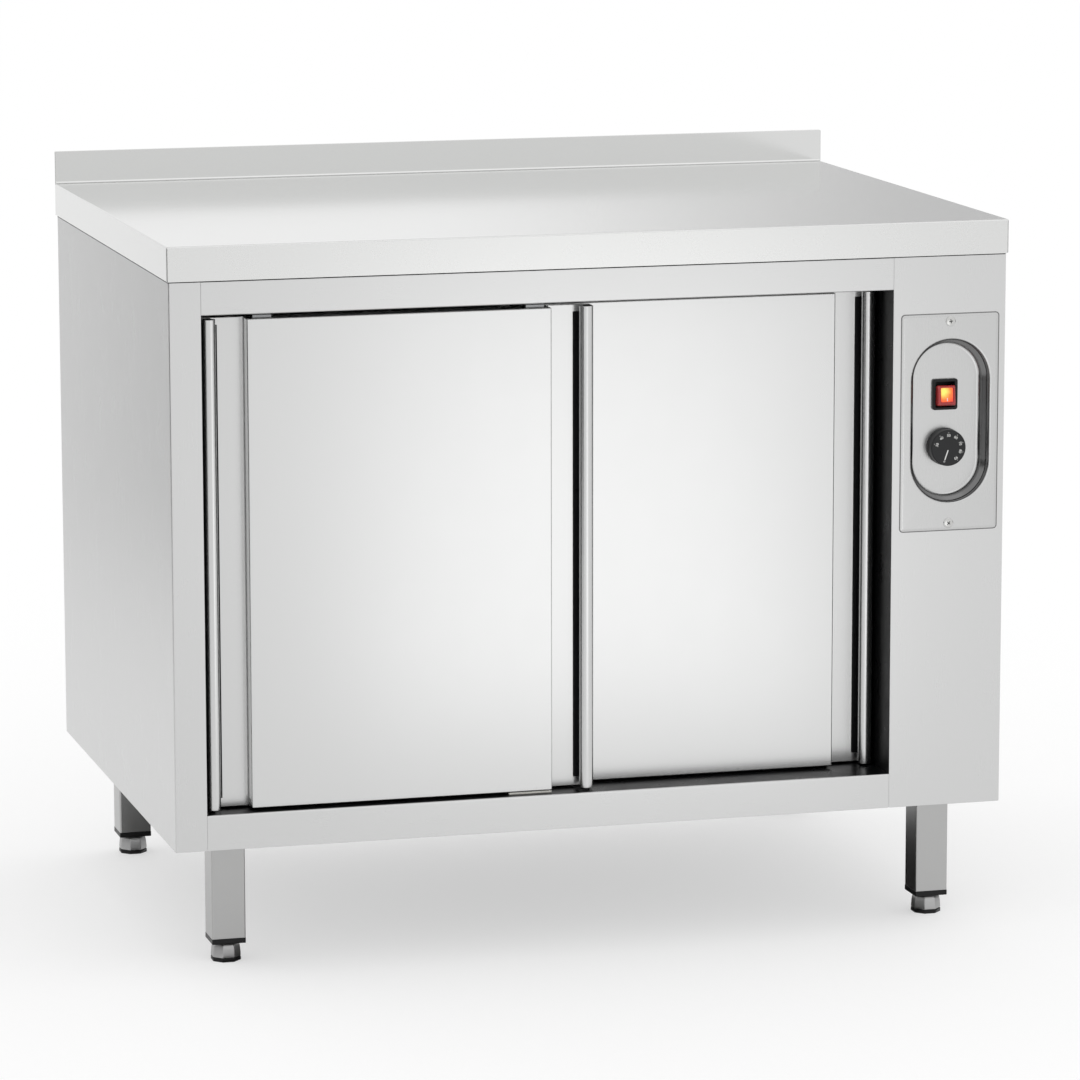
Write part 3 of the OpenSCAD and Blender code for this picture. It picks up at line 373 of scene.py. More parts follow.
@dataclass
class Paintshop:
    """Keeps one material for each finish and grain, and dresses pieces with them."""

    made: dict[tuple[str, Grain], bpy.types.Material] = field(default_factory=dict)

    def material(self, slot: str, grain: Grain = Grain.NONE) -> bpy.types.Material:
        """Returns the finish's material.

        Args:
            slot: A material slot of the record, or the name of an extra finish.
            grain: The brushing's direction.

        Returns:
            The material, made on its first use.
        """
        key = (slot, grain)
        if key not in self.made:
            finish = FINISHES.get(slot) or EXTRA_FINISHES[slot]
            self.made[key] = finish.paint(f"{slot}_{grain.name.lower()}", grain)
        return self.made[key]

    def dress(self, piece: bpy.types.Object, slot: str, grain: Grain = Grain.NONE) -> None:
        """Gives a piece one finish.

        Args:
            piece: The object.
            slot: The finish.
            grain: The brushing's direction.
        """
        piece.data.materials.clear()
        piece.data.materials.append(self.material(slot, grain))

    def line(self, piece: bpy.types.Object, slot: str, low: Point3, high: Point3) -> None:
        """Lines the faces whose middle lies in a box with a second finish.

        Args:
            piece: The dressed object.
            slot: The second finish.
            low: The box's lowest corner.
            high: The box's highest corner.
        """
        piece.data.materials.append(self.material(slot))
        faces = [
            face for face in piece.data.polygons
            if all(a <= middle <= b for a, middle, b in zip(low, face.center, high))
        ]
        for face in faces:
            face.material_index = len(piece.data.materials) - 1
        log.info("%s: %d faces lined in %s", piece.name, len(faces), slot)

    def dress_node(self, node: str, slot: str, grain: Grain = Grain.NONE) -> None:
        """Gives a CAD node that stays in sight one finish, in its material slots.

        Args:
            node: The node's name.
            slot: The finish.
            grain: The brushing's direction.
        """
        for holder in frame["nodes"][node].material_slots:
            holder.material = self.material(slot, grain)
        log.info("node %s keeps its shape, finished in %s", node, slot)


SHOP = Paintshop()
BODY_OF = {
    node: body
    for body, nodes in frame["record"]["behaviour"]["bodies"].items()
    for node in nodes
}


# --------------------------------------------------------------- mesh helpers


def new_piece(name: str, mesh: bpy.types.Mesh) -> bpy.types.Object:
    """Puts a mesh in the scene as an object at the origin."""
    piece = bpy.data.objects.new(name, mesh)
    bpy.context.scene.collection.objects.link(piece)
    return piece


def mesh_from(shape: bmesh.types.BMesh, name: str) -> bpy.types.Mesh:
    """Writes a bmesh to a new mesh and frees it."""
    mesh = bpy.data.meshes.new(name)
    shape.to_mesh(mesh)
    shape.free()
    return mesh


def settled(piece: bpy.types.Object, name: str) -> bpy.types.Object:
    """Replaces an object by a plain one that holds its evaluated mesh.

    Args:
        piece: The object with modifiers, which is removed.
        name: The new object's name.

    Returns:
        The plain object.
    """
    graph = bpy.context.evaluated_depsgraph_get()
    graph.update()
    mesh = bpy.data.meshes.new_from_object(
        piece.evaluated_get(graph), preserve_all_data_layers=True, depsgraph=graph
    )
    old = piece.data
    bpy.data.objects.remove(piece)
    if old is not None and old.users == 0 and isinstance(old, bpy.types.Mesh):
        bpy.data.meshes.remove(old)
    mesh.name = name
    return new_piece(name, mesh)


def smoothed(piece: bpy.types.Object, crease_deg: float = 35.0) -> bpy.types.Object:
    """Shades a piece smooth up to a crease angle, with flat faces kept flat.

    Args:
        piece: The object.
        crease_deg: Edges sharper than this stay sharp.

    Returns:
        The shaded object, which takes the place of the one given.
    """
    piece.data.shade_smooth()
    piece.data.set_sharp_from_angle(angle=math.radians(crease_deg))
    weigh = piece.modifiers.new("weigh", "WEIGHTED_NORMAL")
    weigh.weight = 100
    weigh.keep_sharp = True
    return settled(piece, piece.name)


def shaped(shape: bmesh.types.BMesh, name: str, crease_deg: float = 35.0) -> bpy.types.Object:
    """Makes the shaded piece of a shape, which is freed."""
    return smoothed(new_piece(name, mesh_from(shape, name)), crease_deg)


def finish_piece(
    piece: bpy.types.Object, slot: str, body: str, replaces: tuple[str, ...] = (), grain: Grain = Grain.NONE
) -> bpy.types.Object:
    """Dresses a piece, sets it on its body and reports it.

    Args:
        piece: The object, with its place in its mesh.
        slot: Its finish.
        body: The CAD body that it moves with.
        replaces: The CAD nodes that it stands for.
        grain: The brushing's direction.

    Returns:
        The piece.
    """
    SHOP.dress(piece, slot, grain)
    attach(piece, body)
    if replaces:
        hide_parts(*replaces)
    log.info("piece %s on %s: %d faces in %s", piece.name, body, len(piece.data.polygons), slot)
    return piece


def open_edges(shape: bmesh.types.BMesh) -> int:
    """Counts the edges that don't join exactly two faces."""
    return sum(len(edge.link_faces) != 2 for edge in shape.edges)


def merged_copy(node: str) -> bmesh.types.BMesh:
    """Copies a CAD node's mesh with its triangles joined into whole faces.

    Args:
        node: The node's name.

    Returns:
        The joined shape, closed as the node is.
    """
    shape = bmesh.new()
    shape.from_mesh(frame["nodes"][node].data)
    bmesh.ops.remove_doubles(shape, verts=shape.verts, dist=1e-5)
    bmesh.ops.dissolve_limit(
        shape, angle_limit=math.radians(1.0), verts=shape.verts, edges=shape.edges
    )
    return shape


@dataclass(frozen=True)
class SheetWork:
    """How a sheet part is folded and deburred."""

    fold_radius: float = 2.0 * MM
    thickness: float = 1.0 * MM
    cut_radius: float = 0.3 * MM
    broad: float = 5.0 * MM
    steps: int = 4
    sharp_deg: float = 32.0

    def reach(self, edge: bmesh.types.BMEdge, face: bmesh.types.BMFace) -> float:
        """How far a face goes on from one of its edges, at the least of three places.

        Args:
            edge: The edge.
            face: A face on that edge.

        Returns:
            The least distance to the face's next boundary.
        """
        a, b = edge.verts[0].co, edge.verts[1].co
        along = (b - a).normalized()
        inward = face.normal.cross(along).normalized()
        loop = next(loop for loop in face.loops if loop.edge is edge)
        if loop.vert is not edge.verts[0]:
            inward.negate()
        least = 10.0
        for share in (0.2, 0.5, 0.8):
            start = a.lerp(b, share)
            for other in face.edges:
                if other is edge:
                    continue
                p = other.verts[0].co - start
                q = other.verts[1].co - start
                pu, pv, qu, qv = p.dot(along), p.dot(inward), q.dot(along), q.dot(inward)
                if pu * qu > 0 or abs(pu - qu) < 1e-9:
                    continue
                hit = pv + (qv - pv) * pu / (pu - qu)
                if 1e-5 < hit < least:
                    least = hit
        return least

    def room(self, edge: bmesh.types.BMEdge) -> float:
        """The largest radius that the neighbouring edges leave room for."""
        lengths = [
            other.calc_length()
            for end in edge.verts
            for other in end.link_edges
            if other is not edge and set(other.link_faces) & set(edge.link_faces)
        ]
        return 0.45 * min(lengths, default=1.0)

    def radius(self, edge: bmesh.types.BMEdge) -> float:
        """The radius that an edge gets, or 0 where it stays.

        Args:
            edge: An edge between two faces.

        Returns:
            The radius in metres.
        """
        if len(edge.link_faces) != 2 or edge.calc_face_angle(0.0) < math.radians(self.sharp_deg):
            return 0.0
        broad = all(self.reach(edge, face) > self.broad for face in edge.link_faces)
        if broad:
            wanted = self.fold_radius if edge.is_convex else self.fold_radius - self.thickness
        else:
            wanted = self.cut_radius if edge.is_convex else 0.0
        return max(0.0, min(wanted, self.room(edge)))

    def make(self, node: str, name: str) -> bpy.types.Object:
        """Makes the rounded copy of a CAD node.

        Args:
            node: The node's name.
            name: The piece's name.

        Returns:
            The piece, shaded and without modifiers.
        """
        shape = merged_copy(node)
        volume = shape.calc_volume()
        layer = shape.edges.layers.float.get("bevel_weight_edge") or shape.edges.layers.float.new(
            "bevel_weight_edge"
        )
        widest = max(self.fold_radius, self.cut_radius)
        for edge in shape.edges:
            edge[layer] = self.radius(edge) / widest
        plain = shape.copy()
        piece = new_piece(name, mesh_from(shape, name))
        rounding = piece.modifiers.new("rounding", "BEVEL")
        rounding.limit_method = "WEIGHT"
        rounding.offset_type = "OFFSET"
        rounding.width = widest
        rounding.segments = self.steps
        rounding.use_clamp_overlap = False
        piece = settled(piece, name)
        test = bmesh.new()
        test.from_mesh(piece.data)
        left_open, share = open_edges(test), test.calc_volume() / volume
        test.free()
        if left_open or not 0.93 < share < 1.02:
            log.warning("%s: %d open edges, %.3f of its volume, so it stays sharp", name, left_open, share)
            bpy.data.objects.remove(piece)
            piece = new_piece(name, mesh_from(plain, name))
        else:
            plain.free()
        for stray in ("custom_normal", "bevel_weight_edge"):
            if stray in piece.data.attributes:
                piece.data.attributes.remove(piece.data.attributes[stray])
        return smoothed(piece)

    def fit(self, node: str, slot: str, grain: Grain = Grain.NONE) -> bpy.types.Object:
        """Makes the rounded copy of a node and puts it in the node's place.

        Args:
            node: The node's name.
            slot: The finish.
            grain: The brushing's direction.

        Returns:
            The piece.
        """
        return finish_piece(self.make(node, f"{node}_formed"), slot, BODY_OF[node], (node,), grain)


def lathe(profile: list[Point2], sides: int, turn: float = 0.0) -> bmesh.types.BMesh:
    """Turns a profile about the Z axis into a closed shape.

    Args:
        profile: Pairs of radius and height, from the bottom of the axis to its top.
        sides: The number of sides.
        turn: The angle of the first corner, in radians.

    Returns:
        The closed shape.
    """
    shape = bmesh.new()
    rings = []
    for radius, height in profile:
        if radius < 1e-7:
            rings.append([shape.verts.new((0, 0, height))])
            continue
        rings.append(
            [
                shape.verts.new(
                    (
                        radius * math.cos(turn + 2 * math.pi * k / sides),
                        radius * math.sin(turn + 2 * math.pi * k / sides),
                        height,
                    )
                )
                for k in range(sides)
            ]
        )
    for lower, upper in zip(rings, rings[1:]):
        for k in range(sides):
            m = (k + 1) % sides
            if len(lower) == 1:
                shape.faces.new((lower[0], upper[m], upper[k]))
            elif len(upper) == 1:
                shape.faces.new((lower[k], lower[m], upper[0]))
            else:
                shape.faces.new((lower[k], lower[m], upper[m], upper[k]))
    for ring, flip in ((rings[0], True), (rings[-1], False)):
        if len(ring) > 1:
            shape.faces.new(list(reversed(ring)) if flip else ring)
    bmesh.ops.recalc_face_normals(shape, faces=shape.faces)
    return shape


def placed(shape: bmesh.types.BMesh, matrix: Matrix) -> bmesh.types.BMesh:
    """Moves a shape by a matrix and returns it."""
    bmesh.ops.transform(shape, matrix=matrix, verts=shape.verts)
    return shape


def added(shape: bmesh.types.BMesh, other: bmesh.types.BMesh) -> bmesh.types.BMesh:
    """Adds another shape to a shape, frees the other and returns the first."""
    mesh = mesh_from(other, "part")
    shape.from_mesh(mesh)
    bpy.data.meshes.remove(mesh)
    return shape


def bridge(shape: bmesh.types.BMesh, rings: list[list[bmesh.types.BMVert]]) -> None:
    """Joins rings of equal length, one to the next."""
    for one, two in zip(rings, rings[1:]):
        for k in range(len(one)):
            m = (k + 1) % len(one)
            shape.faces.new((one[k], one[m], two[m], two[k]))


def prism(outline: list[Point2], low: float, high: float) -> bmesh.types.BMesh:
    """Makes a closed upright prism over an outline between two heights."""
    shape = bmesh.new()
    lower, upper = ([shape.verts.new((x, y, z)) for x, y in outline] for z in (low, high))
    bridge(shape, [lower, upper])
    shape.faces.new(lower)
    shape.faces.new(upper)
    bmesh.ops.recalc_face_normals(shape, faces=shape.faces)
    return shape


def band(outer: list[Point2], inner: list[Point2], low: float, high: float) -> bmesh.types.BMesh:
    """Makes a closed flat ring between two outlines of equal length.

    Args:
        outer: The outer outline.
        inner: The inner outline.
        low: The lower height.
        high: The upper height.

    Returns:
        The closed ring.
    """
    shape = bmesh.new()
    rings = [
        [shape.verts.new((x, y, z)) for x, y in outline]
        for outline, z in ((outer, low), (outer, high), (inner, high), (inner, low))
    ]
    bridge(shape, rings + rings[:1])
    bmesh.ops.recalc_face_normals(shape, faces=shape.faces)
    return shape


def facing(origin: Point3, right: Vector, up: Vector) -> Matrix:
    """A matrix that takes local X and Y to two directions at a place.

    Args:
        origin: The place.
        right: The direction of local X.
        up: The direction of local Y.

    Returns:
        The matrix, with local Z at right angles to both.
    """
    normal = right.cross(up)
    matrix = Matrix((right, up, normal)).transposed().to_4x4()
    matrix.translation = Vector(origin)
    return matrix


def front_facing(origin: Point3) -> Matrix:
    """A matrix whose local Z points to the front, with local Y up."""
    return facing(origin, Vector((1, 0, 0)), Vector((0, 0, 1)))


def rounded_rectangle(width: float, height: float, radius: float, steps: int = 6) -> list[Point2]:
    """The outline of a rectangle with round corners, counter-clockwise.

    Args:
        width: Its width.
        height: Its height.
        radius: The corners' radius.
        steps: The number of chords in each corner.

    Returns:
        The points.
    """
    radius = max(radius, 1e-5)
    points = []
    for corner, (sx, sy) in enumerate(((1, 1), (-1, 1), (-1, -1), (1, -1))):
        for step in range(steps + 1):
            angle = math.pi / 2 * (corner + step / steps)
            points.append(
                (
                    sx * (width / 2 - radius) + radius * math.cos(angle),
                    sy * (height / 2 - radius) + radius * math.sin(angle),
                )
            )
    return points


def stadium(radius: float, straight: float, steps: int = 32) -> list[Point2]:
    """The outline of a slot with round ends, counter-clockwise from the right.

    Args:
        radius: The ends' radius.
        straight: The length of the straight sides, which run up and down.
        steps: The number of chords in each end.

    Returns:
        The points.
    """
    points = []
    for side in (1, -1):
        for step in range(steps + 1):
            angle = math.pi * step / steps + (0 if side > 0 else math.pi)
            points.append((radius * math.cos(angle), side * straight / 2 + radius * math.sin(angle)))
    return points


def circle(radius: float, steps: int = 32) -> list[Point2]:
    """The outline of a circle, counter-clockwise."""
    return [
        (radius * math.cos(2 * math.pi * k / steps), radius * math.sin(2 * math.pi * k / steps))
        for k in range(steps)
    ]


@dataclass
class Pressing:
    """A pressed front whose outlines lie in planes square to Y."""

    shape: bmesh.types.BMesh = field(default_factory=bmesh.new)

    def ring(self, outline: list[Point2], centre: Point2, y: float) -> list[bmesh.types.BMVert]:
        """Adds the points of one outline.

        Args:
            outline: Pairs of x and z about the centre.
            centre: The centre's x and z.
            y: The plane's y.

        Returns:
            The new vertices in order.
        """
        return [self.shape.verts.new((centre[0] + x, y, centre[1] + z)) for x, z in outline]

    def wall(self, rings: list[list[bmesh.types.BMVert]]) -> None:
        """Joins rings of equal length, one to the next."""
        bridge(self.shape, rings)

    def flat(self, rings: list[list[bmesh.types.BMVert]]) -> None:
        """Fills the flat area between an outer ring and the holes in it."""
        edges = []
        for ring in rings:
            for k in range(len(ring)):
                pair = (ring[k], ring[(k + 1) % len(ring)])
                edges.append(self.shape.edges.get(pair) or self.shape.edges.new(pair))
        bmesh.ops.triangle_fill(self.shape, use_beauty=True, edges=edges)

    def capped(self, rings: list[list[bmesh.types.BMVert]]) -> None:
        """Joins rings and fills the first and the last one."""
        self.wall(rings)
        self.flat([rings[0]])
        self.flat([rings[-1]])

    def piece(self, name: str, crease_deg: float = 35.0) -> bpy.types.Object:
        """Turns the faces outward and makes the shaded piece."""
        bmesh.ops.remove_doubles(self.shape, verts=self.shape.verts, dist=1e-7)
        bmesh.ops.recalc_face_normals(self.shape, faces=self.shape.faces)
        if self.shape.calc_volume(signed=True) < 0:
            bmesh.ops.reverse_faces(self.shape, faces=self.shape.faces)
        if open_edges(self.shape):
            log.warning("%s has %d open edges", name, open_edges(self.shape))
        return shaped(self.shape, name, crease_deg)


# -------------------------------------------------------------- repeated items


class Repeater:
    """A geometry-nodes tree that sets one item on each point of a mesh."""

    def __init__(self) -> None:
        """Builds the tree with its named inputs."""
        tree = bpy.data.node_groups.new("repeated_items", "GeometryNodeTree")
        self.tree = tree
        ask = tree.interface.new_socket
        ask(name="Points", in_out="INPUT", socket_type="NodeSocketGeometry")
        self.item = ask(name="Item", in_out="INPUT", socket_type="NodeSocketObject").identifier
        self.finish = ask(name="Finish", in_out="INPUT", socket_type="NodeSocketMaterial").identifier
        self.spin = ask(name="Largest spin", in_out="INPUT", socket_type="NodeSocketFloat").identifier
        self.size = ask(name="Size", in_out="INPUT", socket_type="NodeSocketFloat").identifier
        self.seed = ask(name="Seed", in_out="INPUT", socket_type="NodeSocketInt").identifier
        ask(name="Items", in_out="OUTPUT", socket_type="NodeSocketGeometry")
        wires = Wiring(tree)
        given = wires.add("NodeGroupInput").outputs
        item = wires.add("GeometryNodeObjectInfo", {"Object": given["Item"]}, transform_space="ORIGINAL")
        turn = wires.add("GeometryNodeInputNamedAttribute", {"Name": "turn"}, data_type="FLOAT_VECTOR")
        base = wires.add("FunctionNodeEulerToRotation", {"Euler": turn.outputs["Attribute"]})
        random = wires.add("FunctionNodeRandomValue", data_type="FLOAT")
        for socket in random.inputs:
            if socket.type == "VALUE" and socket.name == "Max":
                tree.links.new(given["Largest spin"], socket)
            if socket.type == "VALUE" and socket.name == "Min":
                socket.default_value = 0.0
            if socket.name == "Seed":
                tree.links.new(given["Seed"], socket)
        chance = next(s for s in random.outputs if s.type == "VALUE")
        about_z = wires.add("ShaderNodeCombineXYZ", {"Z": chance})
        spun = wires.add("FunctionNodeEulerToRotation", {"Euler": about_z.outputs["Vector"]})
        full = wires.add(
            "FunctionNodeRotateRotation",
            {"Rotation": base.outputs["Rotation"], "Rotate By": spun.outputs["Rotation"]},
            rotation_space="LOCAL",
        )
        copies = wires.add(
            "GeometryNodeInstanceOnPoints",
            {
                "Points": given["Points"],
                "Instance": item.outputs["Geometry"],
                "Rotation": full.outputs["Rotation"],
                "Scale": given["Size"],
            },
        )
        real = wires.add("GeometryNodeRealizeInstances", {"Geometry": copies.outputs["Instances"]})
        dressed = wires.add(
            "GeometryNodeSetMaterial", {"Geometry": real.outputs["Geometry"], "Material": given["Finish"]}
        )
        wires.add("NodeGroupOutput", {"Items": dressed.outputs["Geometry"]})

    def place(
        self,
        name: str,
        item: bmesh.types.BMesh,
        spots: list[tuple[Point3, Point3]],
        slot: str,
        spin: float = 0.0,
        seed: int = 7,
        crease_deg: float = 35.0,
    ) -> bpy.types.Object:
        """Sets the item on every spot as one mesh.

        Args:
            name: The piece's name.
            item: The item's shape, which is freed.
            spots: Pairs of a place and the item's turn there, as Euler angles.
            slot: The finish.
            spin: The largest random spin about the item's own axis, in radians.
            seed: The random spin's seed.
            crease_deg: Edges sharper than this stay sharp.

        Returns:
            The piece, shaded and without modifiers.
        """
        part = shaped(item, f"{name}_item", crease_deg)
        mesh = bpy.data.meshes.new(name)
        mesh.from_pydata([place for place, _ in spots], [], [])
        turns = mesh.attributes.new("turn", "FLOAT_VECTOR", "POINT")
        turns.data.foreach_set("vector", [angle for _, turn in spots for angle in turn])
        points = new_piece(name, mesh)
        modifier = points.modifiers.new("repeat", "NODES")
        modifier.node_group = self.tree
        modifier[self.item] = part
        modifier[self.finish] = SHOP.material(slot)
        modifier[self.spin] = spin
        modifier[self.size] = 1.0
        modifier[self.seed] = seed
        piece = settled(points, name)
        bpy.data.objects.remove(part)
        return piece


REPEATER = Repeater()
FRONT_TURN: Point3 = (math.pi / 2, 0.0, 0.0)
DOWN_TURN: Point3 = (math.pi, 0.0, 0.0)


# ---------------------------------------------------------------- the cabinet


@dataclass
class Worktop:
    """Worktop with its folded edges, rear upstand and stiffeners."""

    edge_radius: float = 1.8 * MM
    sheet: float = 1.5 * MM
    body: Point2 = (996 * MM, 694 * MM)
    front: float = -350 * MM
    underside: float = 810 * MM
    top: float = 850 * MM
    upstand_face: float = 347 * MM
    inner_radius: float = 2.6 * MM
    half_length: float = 499 * MM
    # Reach out, reach in and depth of the black band that paints the gap's shadow under the edge.
    seal_out: float = 0.4 * MM
    seal_in: float = 0.5 * MM
    seal_depth: float = 1.2 * MM

    def build(self) -> None:
        """Forms the worktop and what stiffens it, and lays a black band under its edge as painted shadow."""
        top = SheetWork(fold_radius=self.edge_radius, thickness=self.sheet, cut_radius=0.4 * MM)
        piece = top.fit("worktop", "worktop_steel", Grain.ALONG_X)
        skin = 0.5 * MM
        low = (-1.0, self.front - skin, self.underside + skin)
        SHOP.line(piece, "worktop_edge", low, (1.0, self.front + skin, self.top - skin))
        SheetWork().fit("worktop_stiffeners", "inner_steel", Grain.ALONG_X)
        # Painted shadow: a black band under the edge stands for the dark gap between worktop and body.
        width, depth = self.body
        out, under = 2 * self.seal_out, 2 * self.seal_in
        outer = rounded_rectangle(width + out, depth + out, 2.4 * MM)
        inner = rounded_rectangle(width - under, depth - under, 1.5 * MM)
        high = self.underside - 0.1 * MM
        shadow_band = band(outer, inner, high - self.seal_depth, high)
        finish_piece(shaped(shadow_band, "worktop_seal"), "lining_black", "cabinet")
        self.upstand_fold()

    def upstand_fold(self) -> None:
        """Rounds the inside of the fold between the worktop and its upstand."""
        face, top = self.upstand_face, self.top
        radius, sunk = self.inner_radius, 0.2 * MM
        arc = [
            (face - radius + radius * math.cos(turn), top + radius + radius * math.sin(turn))
            for turn in (-math.pi / 2 * step / 8 for step in range(9))
        ]
        outline = [(face + sunk, top - sunk), (face + sunk, top + radius), *arc, (face - radius, top - sunk)]
        strip = prism(outline, -self.half_length, self.half_length)
        along = facing((0.0, 0.0, 0.0), Vector((0, 1, 0)), Vector((0, 0, 1)))
        finish_piece(shaped(placed(strip, along), "upstand_fold"), "worktop_steel", "cabinet")


@dataclass
class Housing:
    """Outer panels and rails of the cabinet."""

    fold_radius: float = 2.0 * MM
    upright: tuple[str, ...] = ("side_panel_left", "side_panel_right", "back_panel", "control_front_panel")
    level: tuple[str, ...] = ("top_rail", "bottom_rail", "base_pan")
    bay_y: Point2 = (-344.9 * MM, -250 * MM)
    sill_z: float = 196 * MM
    jamb_x: Point2 = (-460.8 * MM, 360 * MM)

    def build(self) -> None:
        """Forms every panel from its CAD sheet and paints the door bay's sill and jambs black as shade."""
        work = SheetWork(fold_radius=self.fold_radius, cut_radius=0.35 * MM)
        made = {node: work.fit(node, "body_steel", Grain.ALONG_Z) for node in self.upright}
        made |= {node: work.fit(node, "body_steel", Grain.ALONG_X) for node in self.level}
        # Painted shade: the sill's top and both jambs in the door bay are lined black.
        thin = 0.2 * MM
        places = {
            "bottom_rail": ((-1.0, 1.0), (self.sill_z - thin, self.sill_z + thin)),
            "side_panel_left": ((self.jamb_x[0] - thin, self.jamb_x[0] + thin), (0.2, 0.82)),
            "control_front_panel": ((self.jamb_x[1] - thin, self.jamb_x[1] + thin), (0.2, 0.82)),
        }
        for node, (x, z) in places.items():
            low, high = zip(x, self.bay_y, z)
            SHOP.line(made[node], "lining_black", low, high)


@dataclass
class WoolBatts:
    """Mineral wool slabs, swollen softly between the sheets."""

    cell: float = 22.0 * MM
    dent: float = 1.4 * MM

    def batt(self, low: Vector, high: Vector) -> bmesh.types.BMesh:
        """Builds one slab with a lumpy skin inside its box.

        Args:
            low: The box's lowest corner.
            high: The box's highest corner.

        Returns:
            The closed slab.
        """
        shape = bmesh.new()
        size = high - low
        counts = [max(1, round(length / self.cell)) for length in size]
        made: dict[tuple[int, int, int], bmesh.types.BMVert] = {}

        def corner(i: int, j: int, k: int) -> bmesh.types.BMVert:
            """The slab's vertex at a grid place, made on its first use."""
            key = (i, j, k)
            if key not in made:
                share = [n / c for n, c in zip(key, counts)]
                at = Vector(low[a] + size[a] * share[a] for a in range(3))
                sink = Vector((0.0, 0.0, 0.0))
                for axis in range(3):
                    if share[axis] in (0.0, 1.0):
                        seed = math.sin(i * 12.9 + j * 78.2 + k * 37.7 + axis * 5.1) * 43758.5
                        depth = self.dent * (0.15 + 0.85 * (seed - math.floor(seed)))
                        sink[axis] = depth if share[axis] == 0.0 else -depth
                made[key] = shape.verts.new(at + sink)
            return made[key]

        for axis in range(3):
            u, v = (axis + 1) % 3, (axis + 2) % 3
            for end in (0, counts[axis]):
                for a in range(counts[u]):
                    for b in range(counts[v]):
                        keys = []
                        for da, db in ((0, 0), (1, 0), (1, 1), (0, 1)):
                            key = [0, 0, 0]
                            key[axis], key[u], key[v] = end, a + da, b + db
                            keys.append(corner(*key))
                        shape.faces.new(keys if end else list(reversed(keys)))
        bmesh.ops.recalc_face_normals(shape, faces=shape.faces)
        return shape

    def build(self) -> None:
        """Fills the walls and the doors."""
        for node in ("insulation_slabs", "door_left_core", "door_right_core"):
            source = merged_copy(node)
            left = set(source.verts)
            slabs = bmesh.new()
            while left:
                island, todo = set(), [left.pop()]
                while todo:
                    vert = todo.pop()
                    island.add(vert)
                    near = {edge.other_vert(vert) for edge in vert.link_edges} & left
                    left -= near
                    todo += near
                low = Vector(min(v.co[a] for v in island) for a in range(3))
                high = Vector(max(v.co[a] for v in island) for a in range(3))
                added(slabs, self.batt(low, high))
            source.free()
            batts = shaped(slabs, f"{node}_batts", 60.0)
            finish_piece(batts, "mineral_wool", BODY_OF[node], (node,))


@dataclass
class Cavity:
    """Heated cavity with its walls, shelf, door track and door guides."""

    walls: tuple[str, ...] = ("inner_wall_left", "inner_wall_right", "inner_wall_back")
    trays: tuple[str, ...] = ("cavity_floor", "cavity_ceiling", "shelf", "shelf_brackets")

    def build(self) -> None:
        """Forms the sheets inside and the guides."""
        work = SheetWork(fold_radius=1.8 * MM)
        for node in self.walls:
            work.fit(node, "inner_steel", Grain.ALONG_Z)
        for node in self.trays:
            work.fit(node, "inner_steel", Grain.ALONG_X)
        SheetWork(fold_radius=1.7 * MM, thickness=1.5 * MM).fit("door_track", "inner_steel", Grain.ALONG_X)
        SheetWork(fold_radius=0.6 * MM, thickness=0.6 * MM, broad=3 * MM).fit("door_guides", "nylon")


class Side(Enum):
    """The side of the door bay that a door closes."""

    LEFT = "left"
    RIGHT = "right"


class End(Enum):
    """The end of a door at which a grip sits."""

    OUTER = "outer"
    INNER = "inner"


